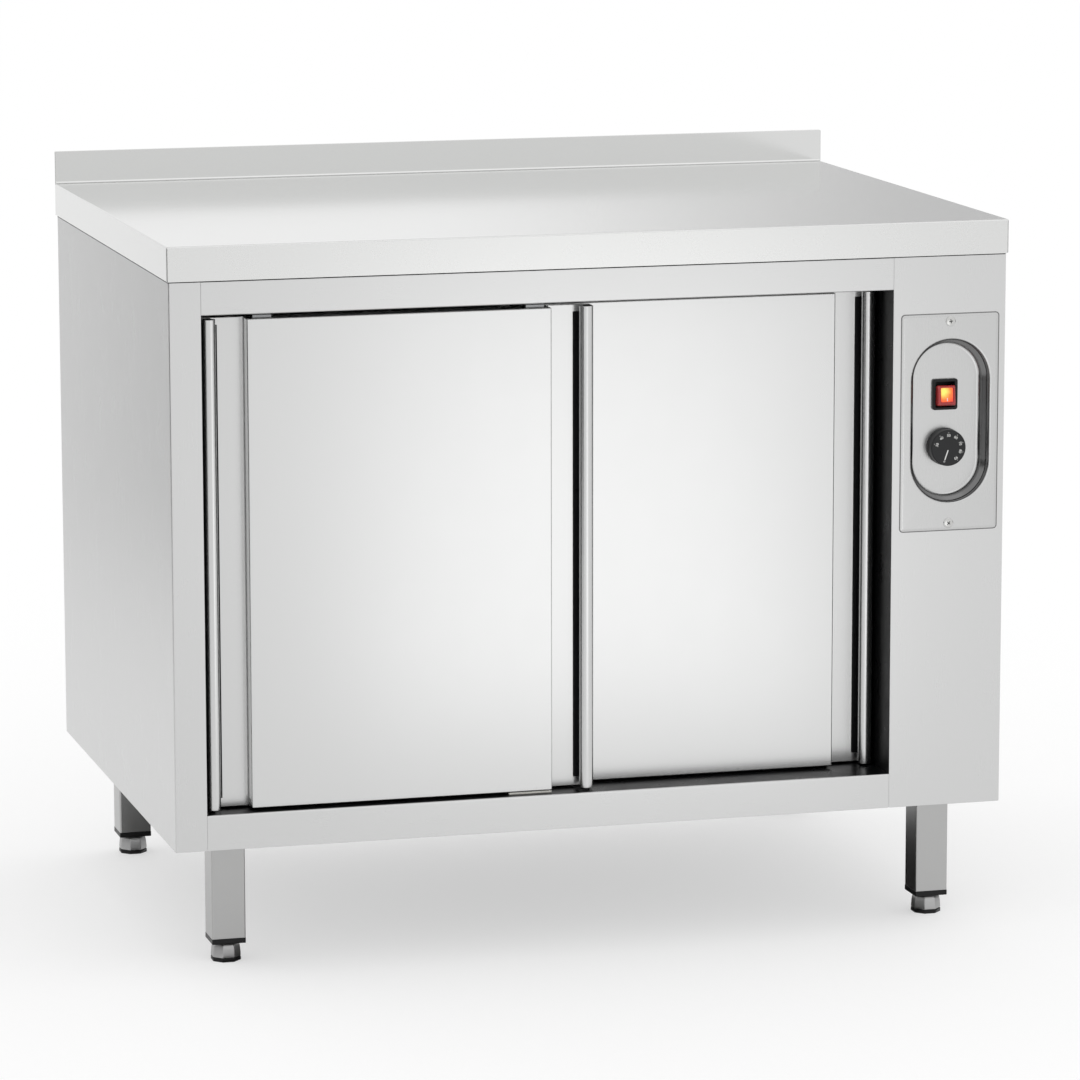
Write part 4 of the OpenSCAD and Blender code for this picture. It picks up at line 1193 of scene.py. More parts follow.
@dataclass
class SlidingDoor:
    """One sliding door with its grips, hangers and wheels."""

    side: Side
    edges: Point2
    face_y: float
    fold_radius: float = 1.6 * MM
    height: Point2 = (198.5 * MM, 764 * MM)
    channel: float = 20 * MM
    neck: float = 11.5 * MM
    # How far along the channel floor the painted shade reaches.
    lined_to: float = 20.5 * MM
    floor_end: float = 47 * MM
    crown: float = 9 * MM
    fall: float = 3.4 * MM

    def place(self, end: End) -> tuple[float, int]:
        """The door's edge beside a grip, and the way inward from it along X."""
        at_left = (end is End.OUTER) == (self.side is Side.LEFT)
        return (self.edges[0], 1) if at_left else (self.edges[1], -1)

    def grip_bar(self, end: End) -> None:
        """Forms a grip and rounds its bar off toward the door's edge.

        Args:
            end: The grip's end of the door.
        """
        node = f"door_{self.side.value}_grip_{end.value}"
        edge, way = self.place(end)
        work = SheetWork(fold_radius=0.7 * MM, thickness=0.7 * MM, cut_radius=0.45 * MM)
        flat = work.make(node, f"{node}_formed")
        shape = bmesh.new()
        shape.from_mesh(flat.data)
        bpy.data.objects.remove(flat)
        for step in range(1, 7):
            cut = (edge + way * self.crown * step / 7, 0, 0)
            everything = [*shape.verts, *shape.edges, *shape.faces]
            bmesh.ops.bisect_plane(shape, geom=everything, plane_co=cut, plane_no=(1, 0, 0), dist=1e-6)
        for vert in shape.verts:
            inward, deep = way * (vert.co.x - edge), vert.co.y - self.face_y
            if inward < self.crown and deep < 9.5 * MM:
                vert.co.y += self.fall * (1 - inward / self.crown) ** 2
        if open_edges(shape):
            log.warning("%s has %d open edges", node, open_edges(shape))
        finish_piece(shaped(shape, f"{node}_formed"), "grip_steel", BODY_OF[node], (node,), Grain.ALONG_Z)

    def trim(self, end: End) -> None:
        """Paints shade into the finger channel beside a grip with a black strip, and closes its edge to the
        main panel.

        Args:
            end: The grip's end of the door.
        """
        edge, way = self.place(end)
        low, high = self.height
        deep, neck = self.channel, self.neck
        # Black strip over the channel's neck wall and floor: painted shade in the finger channel.
        lining = [
            (neck - 0.1 * MM, 12.4 * MM), (neck + 0.4 * MM, 12.4 * MM), (neck + 0.4 * MM, deep - 0.8 * MM),
            (neck + 0.8 * MM, deep - 0.4 * MM), (self.lined_to, deep - 0.4 * MM),
            (self.lined_to, deep + 0.1 * MM), (neck - 0.1 * MM, deep + 0.1 * MM),
        ]
        lip = [
            (self.floor_end - 0.3 * MM, deep), (self.floor_end + 2.8 * MM, deep),
            (self.floor_end + 2.8 * MM, deep + 1.2 * MM), (self.floor_end - 0.3 * MM, deep + 1.2 * MM),
        ]
        for kind, slot, section, bottom, top in (
            ("lining", "lining_black", lining, low + 10.5 * MM, high - 8 * MM),
            ("lip", "grip_steel", lip, low + 0.2 * MM, high - 0.2 * MM),
        ):
            outline = [(edge + way * u, self.face_y + v) for u, v in section]
            piece = shaped(prism(outline, bottom, top), f"door_{self.side.value}_{end.value}_{kind}")
            finish_piece(piece, slot, f"door_{self.side.value}", grain=Grain.ALONG_Z)

    def build(self) -> None:
        """Forms the door's sheets, grips and running gear."""
        name = f"door_{self.side.value}"
        panel = SheetWork(fold_radius=self.fold_radius, cut_radius=0.35 * MM)
        panel.fit(f"{name}_panel", "door_steel", Grain.ALONG_Z)
        panel.fit(f"{name}_back", "inner_steel", Grain.ALONG_Z)
        for end in End:
            self.grip_bar(end)
            self.trim(end)
        gear = SheetWork(fold_radius=0.5 * MM, thickness=0.5 * MM, broad=3 * MM)
        gear.fit(f"{name}_hangers", "zinc_plate")
        for wheel in ("a", "b"):
            gear.fit(f"{name}_roller_{wheel}", "nylon")


@dataclass
class ControlPlate:
    """Control plate with its long pressed recess, and its two screws."""

    centre: Point2 = (0.430, 0.613)
    size: Point2 = (120 * MM, 256.4 * MM)
    face_y: float = -348.2 * MM
    sheet: float = 1.2 * MM
    border: float = 3.6 * MM
    recess_centre: Point2 = (0.431, 0.6148)
    rim: float = 48.5 * MM
    straight: float = 97 * MM
    depth: float = 19 * MM
    lean: float = 7.5 * MM
    lip_radius: float = 2.6 * MM
    floor_radius: float = 3.6 * MM
    ledge: float = 1.5 * MM
    screw_rise: float = 119.4 * MM
    screw_hole: float = 2.2 * MM
    head_radius: float = 6 * MM
    head_height: float = 1.6 * MM
    knob_centre: Point2 = (0.431, 0.5818)
    switch_centre: Point2 = (0.430, 0.6438)
    bush_hole: float = 5.2 * MM
    switch_hole: Point2 = (27.2 * MM, 30.2 * MM)
    # Reach and rise of the dark ring that paints a shadow line round the plate.
    gasket_reach: float = 0.6 * MM
    gasket_rise: float = 0.4 * MM

    def recess_profile(self, inset: float) -> list[Point2]:
        """The recess's section from its lip to its floor.

        Args:
            inset: How far the surface lies behind the front one, at right angles.

        Returns:
            Pairs of radius and depth.
        """
        turn = math.atan2(self.depth, self.lean)
        lip_c = (self.rim + self.lip_radius * math.tan(turn / 2), self.lip_radius)
        foot = self.rim - self.lean
        floor_c = (foot - self.floor_radius * math.tan(turn / 2), self.depth - self.floor_radius)
        lip_r, floor_r = self.lip_radius - inset, self.floor_radius + inset
        steps = 7
        lip = [
            (lip_c[0] - lip_r * math.sin(turn * k / steps), lip_c[1] - lip_r * math.cos(turn * k / steps))
            for k in range(steps + 1)
        ]
        floor = [
            (
                floor_c[0] + floor_r * math.sin(turn * (1 - k / steps)),
                floor_c[1] + floor_r * math.cos(turn * (1 - k / steps)),
            )
            for k in range(steps + 1)
        ]
        wall = []
        for share, shift in ((0.26, 0.5), (0.4, 1.0), (0.48, 0.5), (0.56, -0.5), (0.64, -1.0), (0.78, -0.5)):
            radius = lip[-1][0] + (floor[0][0] - lip[-1][0]) * share
            wall.append((radius + shift * self.ledge, lip[-1][1] + (floor[0][1] - lip[-1][1]) * share))
        return lip + wall + floor

    def plate(self) -> bpy.types.Object:
        """Presses the plate with its crowned border, recess and holes."""
        pressing = Pressing()
        width, height = self.size
        back_y = self.face_y + self.sheet
        rise = self.sheet - 0.15 * MM
        border = [pressing.ring(rounded_rectangle(width, height, 4 * MM), self.centre, back_y)]
        for share, up in ((0.0, 0.0), (0.04, 0.12), (0.3, 0.36), (0.6, 0.68), (0.86, 0.93), (1.0, 1.0)):
            inset = self.border * share
            outline = rounded_rectangle(width - 2 * inset, height - 2 * inset, 4 * MM - 0.6 * inset)
            border.append(pressing.ring(outline, self.centre, back_y - 0.15 * MM - rise * up))
        pressing.wall(border)
        chains = []
        for inset in (0.0, self.sheet):
            chains.append(
                [
                    pressing.ring(stadium(radius, self.straight), self.recess_centre, self.face_y + depth)
                    for radius, depth in self.recess_profile(inset)
                ]
            )
        for chain in chains:
            pressing.wall(chain)
        screws = [
            [
                pressing.ring(
                    circle(self.screw_hole, 16), (self.centre[0], self.centre[1] + side * self.screw_rise), y
                )
                for y in (self.face_y, back_y)
            ]
            for side in (-1, 1)
        ]
        floor_y = self.face_y + self.depth
        floor_holes = [
            [pressing.ring(outline, centre, y) for y in (floor_y, floor_y + self.sheet)]
            for outline, centre in (
                (circle(self.bush_hole), self.knob_centre),
                (rounded_rectangle(*self.switch_hole, 0.6 * MM, 2), self.switch_centre),
            )
        ]
        for hole in screws + floor_holes:
            pressing.wall(hole)
        pressing.flat([border[-1], chains[0][0], screws[0][0], screws[1][0]])
        pressing.flat([border[0], chains[1][0], screws[0][1], screws[1][1]])
        pressing.flat([chains[0][-1], floor_holes[0][0], floor_holes[1][0]])
        pressing.flat([chains[1][-1], floor_holes[0][1], floor_holes[1][1]])
        return pressing.piece("control_plate_pressed", 30.0)

    def screw(self) -> bmesh.types.BMesh:
        """Turns a pan-head screw and cuts the cross slot in its head."""
        r, h = self.head_radius, self.head_height
        profile = [(0, -9 * MM), (1.2 * MM, -9 * MM), (2 * MM, -8 * MM), (2 * MM, 0), (r - 0.2 * MM, 0)]
        profile += [(r, 0.25 * MM)]
        for k in range(7):
            angle = math.pi / 2 * k / 7
            profile.append((r * math.cos(angle) ** 0.8, 0.3 * MM + (h - 0.3 * MM) * math.sin(angle)))
        profile.append((0, h))
        head = new_piece("screw_head", mesh_from(lathe(profile, 40), "screw_head"))
        cross = bmesh.new()
        for turned in (0.0, math.pi / 2):
            arm = bmesh.new()
            bmesh.ops.create_cube(arm, size=1.0)
            for vert in arm.verts:
                narrow = 0.55 if vert.co.z < 0 else 1.0
                vert.co = Vector(
                    (vert.co.x * 6.4 * MM * narrow, vert.co.y * 1.25 * MM * narrow, vert.co.z * 2.6 * MM + h)
                )
            added(cross, placed(arm, Matrix.Rotation(turned, 4, "Z")))
        cutter = new_piece("screw_cross", mesh_from(cross, "screw_cross"))
        cut = head.modifiers.new("cross", "BOOLEAN")
        cut.operation = "DIFFERENCE"
        cut.solver = "EXACT"
        cut.use_self = True
        cut.object = cutter
        done = settled(head, "screw_head")
        bpy.data.objects.remove(cutter)
        shape = bmesh.new()
        shape.from_mesh(done.data)
        bpy.data.objects.remove(done)
        return shape

    def build(self) -> None:
        """Presses the plate, drives its screws, and paints shade onto the recess walls, into the screw slots
        and round the plate.
        """
        plate = finish_piece(
            self.plate(), "control_plate_steel", "cabinet", ("control_plate",), Grain.ALONG_Z
        )
        # Painted shade: the recess walls between lip and floor get the dark steel.
        x, z = self.recess_centre
        reach, half = self.rim + 1 * MM, self.rim + self.straight / 2 + 1 * MM
        low = (x - reach, self.face_y + 0.5 * MM, z - half)
        high = (x + reach, self.face_y + self.depth - 1.6 * MM, z + half)
        SHOP.line(plate, "drawn_steel", low, high)
        spots = [
            ((self.centre[0], self.face_y, self.centre[1] + side * self.screw_rise), FRONT_TURN)
            for side in (-1, 1)
        ]
        screws = REPEATER.place(
            "control_plate_screw_heads", self.screw(), spots, "screw_steel", spin=1.2, seed=4
        )
        finish_piece(screws, "screw_steel", "cabinet", ("control_plate_screws",))
        # Painted shade: the cross slots of the screw heads are lined black.
        near, top = 3 * MM, self.face_y - self.head_height
        for side in (-1, 1):
            x, z = self.centre[0], self.centre[1] + side * self.screw_rise
            low, high = (x - near, top + 0.25 * MM, z - near), (x + near, self.face_y - 0.1 * MM, z + near)
            SHOP.line(screws, "lining_black", low, high)
        self.gasket()

    def gasket(self) -> None:
        """Lays a thin dark ring round the plate as a painted shadow line."""
        (width, height), (x, z) = self.size, self.centre
        out, under = 2 * self.gasket_reach, 2 * MM
        outer = rounded_rectangle(width + out, height + out, 4.6 * MM)
        inner = rounded_rectangle(width - under, height - under, 3.4 * MM)
        ring = band(outer, inner, -0.1 * MM, self.gasket_rise)
        ring = placed(ring, front_facing((x, self.face_y + self.sheet, z)))
        finish_piece(shaped(ring, "control_plate_gasket"), "drawn_steel", "cabinet")


@dataclass
class LitSwitch:
    """Black switch with its lit red rocker."""

    pivot: Point3 = (0.430, -0.3272, 0.6438)
    tilt_deg: float = 7.0
    rocker: Point2 = (22.7 * MM, 24 * MM)
    rocker_centre: Point2 = (0.0, -1.9 * MM)
    face_out: float = 11 * MM
    tail: float = 4 * MM
    window: Point2 = (14.6 * MM, 16.6 * MM)
    window_centre: Point2 = (0.4 * MM, -1.2 * MM)
    groove: float = 0.9 * MM

    def rested(self, piece: bpy.types.Object) -> bpy.types.Object:
        """Tilts a piece that was made upright about the pivot to its place at rest."""
        turn = Matrix.Rotation(math.radians(-self.tilt_deg), 4, "X")
        piece.data.transform(Matrix.Translation(self.pivot) @ turn)
        return piece

    def frame_part(self) -> bpy.types.Object:
        """Moulds the rocker with its raised border and the groove round its window."""
        width, height = self.rocker
        out = -self.face_out
        inner, groove = self.window, self.groove
        pressing = Pressing()
        layers = [
            (width, height - 4 * MM, 1.0 * MM, self.tail),
            (width, height, 1.2 * MM, out + 3.4 * MM),
            (width - 0.3 * MM, height - 0.5 * MM, 1.4 * MM, out + 2.0 * MM),
            (width - 0.9 * MM, height - 2.0 * MM, 1.6 * MM, out + 0.9 * MM),
            (width - 2.0 * MM, height - 4.2 * MM, 1.8 * MM, out + 0.2 * MM),
            (width - 3.0 * MM, height - 5.4 * MM, 1.8 * MM, out),
            (inner[0] + 2 * groove, inner[1] + 2 * groove, 1.4 * MM, out),
            (inner[0] + 2 * groove - 0.5 * MM, inner[1] + 2 * groove - 0.5 * MM, 1.2 * MM, out + 0.9 * MM),
        ]
        rings = [
            pressing.ring(
                rounded_rectangle(w, h, r, 5), self.rocker_centre if k < 6 else self.window_centre, y
            )
            for k, (w, h, r, y) in enumerate(layers)
        ]
        pressing.capped(rings)
        return self.rested(pressing.piece("switch_rocker_frame", 40.0))

    def window_part(self) -> bpy.types.Object:
        """Moulds the crowned window that the lamp lights."""
        width, height = self.window
        out = -self.face_out
        pressing = Pressing()
        layers = [
            (width, height, 1.0 * MM, out + 1.6 * MM),
            (width, height, 1.0 * MM, out + 0.5 * MM),
            (width - 0.6 * MM, height - 0.6 * MM, 1.0 * MM, out + 0.15 * MM),
            (width - 2.4 * MM, height - 2.4 * MM, 0.9 * MM, out - 0.05 * MM),
            (width - 7.0 * MM, height - 7.0 * MM, 0.8 * MM, out - 0.15 * MM),
        ]
        rings = [
            pressing.ring(rounded_rectangle(w, h, r, 5), self.window_centre, y) for w, h, r, y in layers
        ]
        pressing.capped(rings)
        return self.rested(pressing.piece("switch_lens_window", 40.0))

    def mark_part(self) -> bpy.types.Object:
        """Prints the upright on-mark near the window's lower edge."""
        pressing = Pressing()
        out = -self.face_out
        rings = [
            pressing.ring(rounded_rectangle(w, h, 0.35 * MM, 4), (self.window_centre[0], -6.6 * MM), y)
            for w, h, y in (
                (1.1 * MM, 3.9 * MM, out + 0.4 * MM),
                (1.1 * MM, 3.9 * MM, out - 0.18 * MM),
                (0.9 * MM, 3.7 * MM, out - 0.22 * MM),
            )
        ]
        pressing.capped(rings)
        return self.rested(pressing.piece("switch_on_mark"))

    def build(self) -> None:
        """Moulds the switch body, its rocker, window and mark."""
        SheetWork(fold_radius=0.7 * MM, thickness=0.7 * MM, cut_radius=0.6 * MM, broad=3 * MM).fit(
            "switch_body", "black_plastic"
        )
        finish_piece(self.frame_part(), "red_lens", "switch_rocker", ("switch_rocker",))
        finish_piece(self.window_part(), "lens_window", "switch_rocker")
        finish_piece(self.mark_part(), "dial_white", "switch_rocker")


@dataclass
class Dial:
    """Thermostat knob with its numbers, dots and pointer line."""

    centre: Point2 = (0.431, 0.5818)
    back_y: float = -0.330
    height: float = 14.2 * MM
    radius: float = 22 * MM
    numbers: tuple[int, ...] = (30, 40, 50, 60, 70, 80, 90)
    first_deg: float = 163.0
    step_deg: float = -36.0
    number_radius: float = 14.9 * MM
    number_height: float = 3.3 * MM
    dot_radius: float = 18.3 * MM
    dot_size: float = 0.42 * MM
    pointer_deg: float = 251.0
    print_rise: float = 0.04 * MM

    def knob(self) -> bpy.types.Object:
        """Turns the knob with its soft front edge, skirt and spindle."""
        r, h = self.radius, self.height
        profile = [
            (0.0, -17 * MM), (2.9 * MM, -17 * MM), (3 * MM, -16.8 * MM), (3 * MM, 0.0),
            (r - 1.4 * MM, 0.0), (r - 0.5 * MM, 0.15 * MM), (r - 0.1 * MM, 0.7 * MM), (r, 1.6 * MM),
            (r, 3.2 * MM), (r - 0.35 * MM, 3.7 * MM), (r - 0.45 * MM, 8.0 * MM), (r - 0.6 * MM, h - 1.5 * MM),
            (r - 0.75 * MM, h - 0.9 * MM), (r - 1.1 * MM, h - 0.4 * MM), (r - 1.7 * MM, h - 0.1 * MM),
            (r - 2.4 * MM, h), (r - 4.0 * MM, h), (0.0, h),
        ]
        shape = placed(lathe(profile, 96), front_facing((self.centre[0], self.back_y, self.centre[1])))
        return shaped(shape, "thermostat_knob_turned", 50.0)

    def spot(self, angle_deg: float, radius: float) -> Point3:
        """The point of the knob's face at an angle and a radius."""
        angle = math.radians(angle_deg)
        return (
            self.centre[0] + radius * math.cos(angle),
            self.back_y - self.height,
            self.centre[1] + radius * math.sin(angle),
        )

    def lie(self, angle_deg: float, radius: float) -> Matrix:
        """A matrix for a print on the knob's face, its top outward."""
        angle = math.radians(angle_deg)
        up = Vector((math.cos(angle), 0, math.sin(angle)))
        right = Vector((math.sin(angle), 0, -math.cos(angle)))
        return facing(self.spot(angle_deg, radius), right, up)

    def number(self, value: int, angle_deg: float) -> bmesh.types.BMesh:
        """Cuts one number as a thin closed print, its top outward.

        Args:
            value: The number.
            angle_deg: Its place round the face.

        Returns:
            The print's shape in place.
        """
        curve = bpy.data.curves.new("number", "FONT")
        curve.body = str(value)
        curve.size = self.number_height * 1.38
        curve.align_x = "CENTER"
        curve.align_y = "CENTER"
        curve.extrude = self.print_rise
        curve.offset = 0.045 * MM
        curve.resolution_u = 3
        holder = bpy.data.objects.new("number", curve)
        bpy.context.scene.collection.objects.link(holder)
        done = settled(holder, "number")
        done.data.transform(self.lie(angle_deg, self.number_radius))
        shape = bmesh.new()
        shape.from_mesh(done.data)
        bmesh.ops.remove_doubles(shape, verts=shape.verts, dist=1e-7)
        bpy.data.objects.remove(done)
        return shape

    def prints(self) -> bpy.types.Object:
        """Joins the numbers and the pointer line."""
        shape = bmesh.new()
        for place, value in enumerate(self.numbers):
            added(shape, self.number(value, self.first_deg + place * self.step_deg))
        pressing = Pressing()
        outline = rounded_rectangle(1.35 * MM, 12.4 * MM, 0.3 * MM, 3)
        rings = [pressing.ring(outline, (0.0, 0.0), y) for y in (self.print_rise, -self.print_rise)]
        pressing.capped(rings)
        bmesh.ops.recalc_face_normals(pressing.shape, faces=pressing.shape.faces)
        lay = self.lie(self.pointer_deg, 8.7 * MM) @ Matrix.Rotation(-math.pi / 2, 4, "X")
        added(shape, placed(pressing.shape, lay))
        return shaped(shape, "dial_numbers")

    def dots(self) -> bpy.types.Object:
        """Sets a dot outside each number by geometry nodes."""
        profile = [
            (0.0, -self.print_rise), (self.dot_size, -self.print_rise),
            (self.dot_size, self.print_rise * 0.6), (self.dot_size * 0.8, self.print_rise),
            (0.0, self.print_rise),
        ]
        spots = [
            (self.spot(self.first_deg + place * self.step_deg, self.dot_radius), FRONT_TURN)
            for place in range(len(self.numbers))
        ]
        return REPEATER.place("dial_dots", lathe(profile, 14), spots, "dial_white")

    def ring_mark(self) -> bpy.types.Object:
        """Prints the small grey ring at the pointer's end."""
        rise = self.print_rise
        outer, inner = 1.15 * MM, 0.45 * MM
        shape = band(circle(outer, 20), circle(inner, 20), -rise, rise)
        placed(shape, front_facing(self.spot(self.pointer_deg, 16.6 * MM)))
        return shaped(shape, "dial_pointer_ring")

    def build(self) -> None:
        """Makes the knob and prints its face."""
        finish_piece(self.knob(), "dial_black", "thermostat_knob", ("thermostat_knob",))
        finish_piece(self.prints(), "dial_white", "thermostat_knob")
        finish_piece(self.dots(), "dial_white", "thermostat_knob")
        finish_piece(self.ring_mark(), "dial_grey", "thermostat_knob")


@dataclass
class Foot:
    """Adjustable foot: eight-sided jacket on a black base, with its threaded stud."""

    name: str
    x: float
    y: float
    across_flats: float = 33 * MM
    stud_radius: float = 5 * MM
    stud_top: float = 83.3 * MM
    pitch: float = 1.5 * MM

    def build(self) -> None:
        """Makes the jacket with its stud, and the base."""
        to_corner = 1 / math.cos(math.pi / 8)
        half = self.across_flats / 2
        body = f"foot_{self.name}"
        jacket = [
            (half - 0.8 * MM, 5.0 * MM), (half - 0.2 * MM, 5.3 * MM), (half, 6.0 * MM),
            (half - 0.1 * MM, 9.0 * MM), (half - 0.5 * MM, 14.0 * MM), (half - 1.0 * MM, 17.5 * MM),
            (half - 1.7 * MM, 19.8 * MM),
            (half - 2.7 * MM, 21.4 * MM), (half - 4.2 * MM, 22.5 * MM), (half - 5.5 * MM, 22.7 * MM),
        ]
        shape = lathe([(r * to_corner, z) for r, z in jacket], 8, math.pi / 8)
        upright = [
            edge for edge in shape.edges if abs(edge.verts[0].co.z - edge.verts[1].co.z) > 0.1 * MM
        ]
        bmesh.ops.bevel(
            shape, geom=upright, offset=0.9 * MM, segments=3, affect="EDGES", profile=0.5,
            clamp_overlap=True,
        )
        thread = [(0.0, 21 * MM)]
        z = 21 * MM
        while z < self.stud_top - self.pitch:
            thread += [(self.stud_radius - 0.75 * MM, z), (self.stud_radius, z + self.pitch / 2)]
            z += self.pitch
        thread += [(self.stud_radius - 0.8 * MM, self.stud_top - 0.4 * MM), (0.0, self.stud_top)]
        added(shape, lathe(thread, 20))
        place = Matrix.Translation((self.x, self.y, 0))
        finish_piece(shaped(placed(shape, place), f"{body}_jacket", 40.0), "foot_metal", body, (body,))
        pad = [
            (half - 0.7 * MM, 0.0), (half - 0.2 * MM, 0.3 * MM), (half, 0.9 * MM), (half, 4.1 * MM),
            (half - 0.3 * MM, 4.6 * MM), (half - 0.9 * MM, 4.8 * MM),
        ]
        base = lathe([(r * to_corner, z) for r, z in pad], 8, math.pi / 8)
        finish_piece(shaped(placed(base, place), f"{body}_base", 40.0), "black_plastic", body)


@dataclass
class Undercarriage:
    """Four legs with their caps, plates, bolts and feet."""

    leg_x: Point2 = (-0.420, 0.444)
    leg_y: Point2 = (-0.245, 0.321)
    bolt_at: Point2 = (34 * MM, 14 * MM)
    plate_z: float = 151 * MM
    head_height: float = 5 * MM
    head_radius: float = 6.5 * MM
    shank_radius: float = 3.9 * MM
    shank_length: float = 10 * MM

    def bolt(self) -> bmesh.types.BMesh:
        """Forges a hexagon-head bolt that points along -Z below its head."""
        r, h = self.head_radius, self.head_height
        shank_r, tip = self.shank_radius, -self.shank_length
        head = lathe([(r, 0.5 * MM), (r, h - 0.5 * MM), (r - 0.8 * MM, h), (0.0, h)], 6)
        washer = lathe([(5.4 * MM, 0.0), (5.4 * MM, 0.55 * MM), (0.0, 0.55 * MM)], 24)
        shank = [(0.0, tip), (3.2 * MM, tip), (shank_r, tip + 0.8 * MM), (shank_r, 0.4 * MM), (0.0, 0.4 * MM)]
        return added(added(head, washer), lathe(shank, 20))

    def build(self) -> None:
        """Sets up the legs and what holds them."""
        for node in ("leg_front_left", "leg_front_right", "leg_rear_left", "leg_rear_right"):
            SheetWork(fold_radius=2.2 * MM, thickness=1.5 * MM).fit(node, "leg_steel", Grain.ALONG_Z)
        caps = SheetWork(fold_radius=0.8 * MM, thickness=0.8 * MM, cut_radius=0.5 * MM)
        caps.fit("leg_caps", "black_plastic")
        SheetWork(fold_radius=0.5 * MM, thickness=0.5 * MM).fit("leg_plates", "leg_steel", Grain.ALONG_X)
        spots = [
            ((x + sx * self.bolt_at[0], y + sy * self.bolt_at[1], self.plate_z), DOWN_TURN)
            for x in self.leg_x for y in self.leg_y for sx in (-1, 1) for sy in (-1, 1)
        ]
        bolts = REPEATER.place("leg_bolt_heads", self.bolt(), spots, "screw_steel", spin=6.0, seed=11)
        finish_piece(bolts, "screw_steel", "cabinet", ("leg_bolts",))
        for rank, y in (("front", self.leg_y[0]), ("rear", self.leg_y[1])):
            for side, x in (("left", self.leg_x[0]), ("right", self.leg_x[1])):
                Foot(f"{rank}_{side}", x, y).build()


@dataclass
class FanWheel:
    """Radial fan wheel with its blades, hub and shaft."""

    axis: Point3 = (0.324, 0.060, 0.330)
    blades: int = 16
    outer: float = 61 * MM
    blade_length: float = 20 * MM
    depth: float = 20 * MM

    def blade(self) -> bmesh.types.BMesh:
        """Bends one blade, which starts at the rim and curves back as it goes in."""
        shape = bmesh.new()
        half = 0.7 * MM
        rows = []
        for step in range(7):
            share = step / 6
            r = self.outer - self.blade_length * share
            lag = 3.2 * MM * math.sin(math.pi * share)
            rows.append(
                [
                    shape.verts.new((x, r, lag + side * half))
                    for x, side in ((0.0, -1), (self.depth + 1 * MM, -1), (self.depth + 1 * MM, 1), (0.0, 1))
                ]
            )
        bridge(shape, rows)
        shape.faces.new(rows[0])
        shape.faces.new(list(reversed(rows[-1])))
        bmesh.ops.recalc_face_normals(shape, faces=shape.faces)
        return shape

    def build(self) -> None:
        """Sets the blades on the disc and fits the shaft."""
        spots = [(self.axis, (2 * math.pi * k / self.blades, 0.0, 0.0)) for k in range(self.blades)]
        blades = REPEATER.place("fan_wheel_blades", self.blade(), spots, "zinc_plate")
        finish_piece(blades, "zinc_plate", "fan_wheel")
        profile = [
            (0.0, 6 * MM), (3.2 * MM, 6 * MM), (4 * MM, 6.8 * MM), (4 * MM, 8 * MM), (9 * MM, 8 * MM),
            (10 * MM, 9 * MM), (10 * MM, 18.6 * MM), (11.4 * MM, 20 * MM), (61.4 * MM, 20 * MM),
            (62 * MM, 20.6 * MM), (62 * MM, 21.4 * MM), (61.4 * MM, 22 * MM), (4 * MM, 22 * MM),
            (4 * MM, 62 * MM), (0.0, 62 * MM),
        ]
        along_x = Matrix.Translation(self.axis) @ Matrix.Rotation(math.pi / 2, 4, "Y")
        disc = shaped(placed(lathe(profile, 64), along_x), "fan_wheel_disc")
        finish_piece(disc, "zinc_plate", "fan_wheel", ("fan_wheel",))


@dataclass
class HeatingUnit:
    """Fan, ring heater, thermostat and their wires."""

    def build(self) -> None:
        """Forms the cover and housings, and dresses what keeps its CAD shape."""
        SheetWork(fold_radius=1.8 * MM, cut_radius=0.25 * MM).fit("fan_cover", "inner_steel", Grain.ALONG_Z)
        block = SheetWork(fold_radius=0.8 * MM, thickness=0.8 * MM, cut_radius=0.4 * MM)
        block.fit("fan_motor", "zinc_plate")
        block.fit("thermostat_body", "nylon")
        block.fit("terminal_block", "nylon")
        block.fit("cable_gland", "black_plastic")
        FanWheel().build()
        SHOP.dress_node("heater_element", "heater_sheath")
        SHOP.dress_node("thermostat_bulb", "copper")
        SHOP.dress_node("wiring_loom", "wire_cover")


# ------------------------------------------------------------------- the studio


@dataclass(frozen=True)
class Lamp:
    """One soft rectangular lamp."""

    name: str
    at: Point3
    aim: Point3
    size: Point2
    power: float

    def hang(self) -> None:
        """Hangs the lamp, unseen by the camera."""
        data = bpy.data.lights.new(self.name, "AREA")
        data.shape = "RECTANGLE"
        data.size, data.size_y = self.size
        data.energy = self.power
        holder = bpy.data.objects.new(self.name, data)
        back = (Vector(self.at) - Vector(self.aim)).normalized()
        right = Vector((0, 0, 1)).cross(back).normalized()
        holder.matrix_world = facing(self.at, right, back.cross(right))
        holder.visible_camera = False
        bpy.context.scene.collection.objects.link(holder)


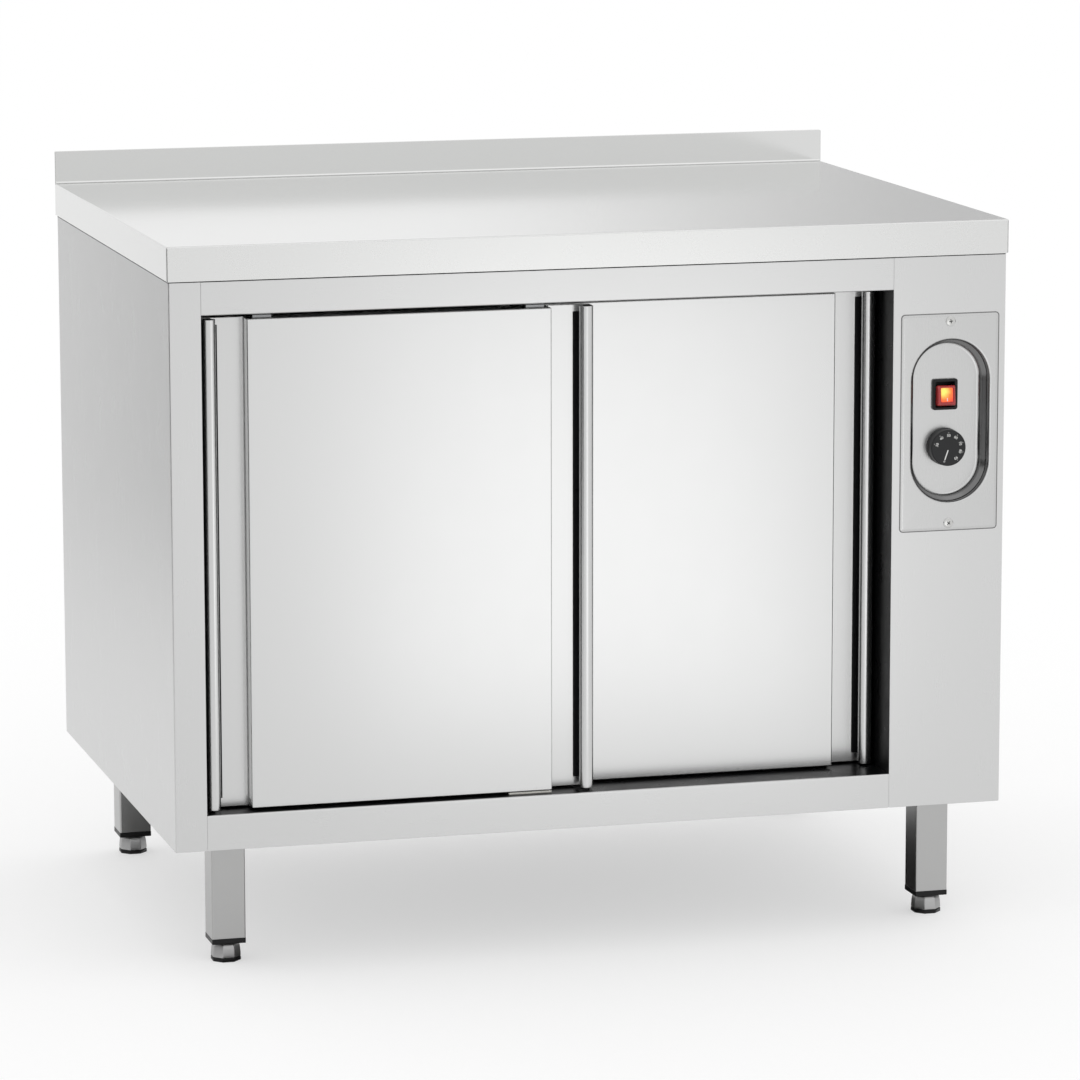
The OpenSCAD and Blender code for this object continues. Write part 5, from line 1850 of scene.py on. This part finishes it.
@dataclass(frozen=True)
class Card:
    """One matt card that the metal reflects and the camera doesn't see."""

    name: str
    at: Point3
    aim: Point3
    size: Point2
    tone: float
    fade: float = 0.0

    def stand(self) -> None:
        """Stands the card up facing its aim."""
        half_w, half_h = self.size[0] / 2, self.size[1] / 2
        mesh = bpy.data.meshes.new(self.name)
        mesh.from_pydata(
            [(-half_w, -half_h, 0), (half_w, -half_h, 0), (half_w, half_h, 0), (-half_w, half_h, 0)],
            [],
            [(0, 1, 2, 3)],
        )
        toward = (Vector(self.aim) - Vector(self.at)).normalized()
        right = Vector((0, 0, 1)).cross(toward).normalized()
        mesh.transform(facing(self.at, right, toward.cross(right)))
        flat = mesh.uv_layers.new(name="flat")
        for corner, spot in enumerate(((0, 0), (1, 0), (1, 1), (0, 1))):
            flat.data[corner].uv = spot
        card = new_piece(self.name, mesh)
        material = bpy.data.materials.new(self.name)
        wires = emptied(material)
        matt = wires.add("ShaderNodeBsdfDiffuse", {"Color": (self.tone, self.tone, self.tone, 1.0)})
        surface = matt.outputs["BSDF"]
        if self.fade:
            surface = self.faded(wires, surface)
        wires.add("ShaderNodeOutputMaterial", {"Surface": surface})
        mesh.materials.append(material)
        card.visible_camera = False
        card.visible_diffuse = False
        card.visible_shadow = False

    def faded(self, wires: Wiring, surface: bpy.types.NodeSocket) -> bpy.types.NodeSocket:
        """Lets the card's left and right sides fade away.

        Args:
            wires: The card's nodes.
            surface: The card's own surface.

        Returns:
            The surface with its two sides faded.
        """
        spot = wires.add("ShaderNodeTexCoord").outputs["UV"]
        across = wires.add("ShaderNodeSeparateXYZ", {"Vector": spot}).outputs["X"]
        inward = wires.calc("PINGPONG", across, 0.5)
        cover = wires.add(
            "ShaderNodeMapRange", {"Value": inward, "From Max": self.fade}, interpolation_type="SMOOTHSTEP"
        ).outputs["Result"]
        clear = wires.add("ShaderNodeBsdfTransparent").outputs["BSDF"]
        return wires.add("ShaderNodeMixShader", {0: cover, 1: clear, 2: surface}).outputs["Shader"]


@dataclass
class Studio:
    """Pale floor, soft lamps, white surroundings and the camera."""

    camera_at: Point3 = (-1.64312, -6.08900, 1.54165)
    yaw: float = 0.2679
    pitch: float = -0.1737
    roll: float = -0.0016
    focal_px: float = 5256.98
    picture_px: float = 1080.0
    sensor: float = 36.0
    floor_half: float = 60.0
    floor_tone: float = 0.5
    floor_glow: float = 0.5
    lamps: tuple[Lamp, ...] = (
        Lamp("overhead_lamp", (1.2, -2.6, 3.6), (0.0, 0.0, 0.4), (2.6, 2.6), 6.0),
        Lamp("front_strip_lamp", (0.462, -1.95, 0.3), (0.355, -1.56, 1.21), (0.66, 1.3), 1.65),
    )
    cards: tuple[Card, ...] = (
        Card("left_card", (-1.35, 1.8, 1.0), (-0.5, 1.8, 1.0), (2.2, 2.0), 0.5),
        Card("rear_card", (1.95, 3.7, 1.9), (0.4, -0.2, 1.0), (2.4, 2.0), 0.85, 0.5),
        Card("front_left_card", (-2.9, -1.3, 0.43), (-0.45, -0.2, 0.43), (3.4, 0.84), 0.03),
        Card("right_card", (3.0, 0.2, 0.43), (0.5, -0.1, 0.43), (3.6, 0.84), 0.1),
        # Dark card under the cabinet, seen only in reflections: painted shade of the floor beneath it.
        Card("under_card", (0.0, 0.0, 0.001), (0.0, 0.001, 1.0), (0.86, 0.6), 0.03),
    )

    def camera(self) -> None:
        """Puts the camera where the photograph was taken."""
        lens = bpy.data.cameras.new("camera")
        lens.sensor_fit = "HORIZONTAL"
        lens.sensor_width = self.sensor
        lens.lens = self.focal_px / self.picture_px * self.sensor
        lens.clip_start, lens.clip_end = 0.1, 200.0
        forward = Vector(
            (
                math.sin(self.yaw) * math.cos(self.pitch),
                math.cos(self.yaw) * math.cos(self.pitch),
                math.sin(self.pitch),
            )
        )
        right = Vector((math.cos(self.yaw), -math.sin(self.yaw), 0))
        up = right.cross(forward)
        tilted = right * math.cos(self.roll) + up * math.sin(self.roll)
        holder = bpy.data.objects.new("camera", lens)
        holder.matrix_world = facing(self.camera_at, tilted, tilted.cross(forward))
        bpy.context.scene.collection.objects.link(holder)
        bpy.context.scene.camera = holder

    def seen_directly(self, wires: Wiring) -> bpy.types.NodeSocket:
        """A factor that is 1 for what the camera, a mirror or glass shows."""
        path = wires.add("ShaderNodeLightPath").outputs
        either = wires.calc("MAXIMUM", path["Is Camera Ray"], path["Is Glossy Ray"])
        return wires.calc("MAXIMUM", either, path["Is Transmission Ray"])

    def surroundings(self) -> None:
        """Makes the world plain white."""
        world = bpy.data.worlds.new("white_studio")
        bpy.context.scene.world = world
        wires = emptied(world)
        back = wires.add("ShaderNodeBackground", {"Color": (1.0, 1.0, 1.0, 1.0), "Strength": 1.0})
        wires.add("ShaderNodeOutputWorld", {"Surface": back.outputs["Background"]})

    def floor(self) -> None:
        """Lays the pale floor, which keeps the cabinet's shadow."""
        half = self.floor_half
        mesh = bpy.data.meshes.new("studio_floor")
        mesh.from_pydata(
            [(-half, -half, 0), (half, -half, 0), (half, half, 0), (-half, half, 0)], [], [(0, 1, 2, 3)]
        )
        floor = new_piece("studio_floor", mesh)
        material = bpy.data.materials.new("studio_floor")
        wires = emptied(material)
        matt = wires.add("ShaderNodeBsdfDiffuse", {"Color": (*[self.floor_tone] * 3, 1.0)})
        strength = wires.calc("MULTIPLY", self.seen_directly(wires), self.floor_glow)
        glow = wires.add("ShaderNodeEmission", {"Color": (1.0, 1.0, 1.0, 1.0), "Strength": strength})
        both = wires.add("ShaderNodeAddShader", {0: matt.outputs["BSDF"], 1: glow.outputs["Emission"]})
        clear = wires.add("ShaderNodeBsdfTransparent")
        under = wires.add("ShaderNodeNewGeometry").outputs["Backfacing"]
        surface = wires.add(
            "ShaderNodeMixShader", {0: under, 1: both.outputs["Shader"], 2: clear.outputs["BSDF"]}
        )
        wires.add("ShaderNodeOutputMaterial", {"Surface": surface.outputs["Shader"]})
        mesh.materials.append(material)

    def build(self) -> None:
        """Sets up everything round the cabinet."""
        self.camera()
        self.surroundings()
        self.floor()
        for lamp in self.lamps:
            lamp.hang()
        for card in self.cards:
            card.stand()
        bpy.context.scene.view_settings.view_transform = "Standard"


def main() -> None:
    """Builds the studio and the cabinet in order."""
    logging.basicConfig(level=logging.INFO, format="%(name)s: %(message)s")
    Studio().build()
    for unit in (
        Worktop(),
        Housing(),
        WoolBatts(),
        Cavity(),
        SlidingDoor(Side.LEFT, (-456.8 * MM, 1.7 * MM), -335 * MM),
        SlidingDoor(Side.RIGHT, (-102.5 * MM, 356 * MM), -299 * MM),
        ControlPlate(),
        LitSwitch(),
        Dial(),
        HeatingUnit(),
        Undercarriage(),
    ):
        unit.build()


if __name__ == "__main__":
    main()
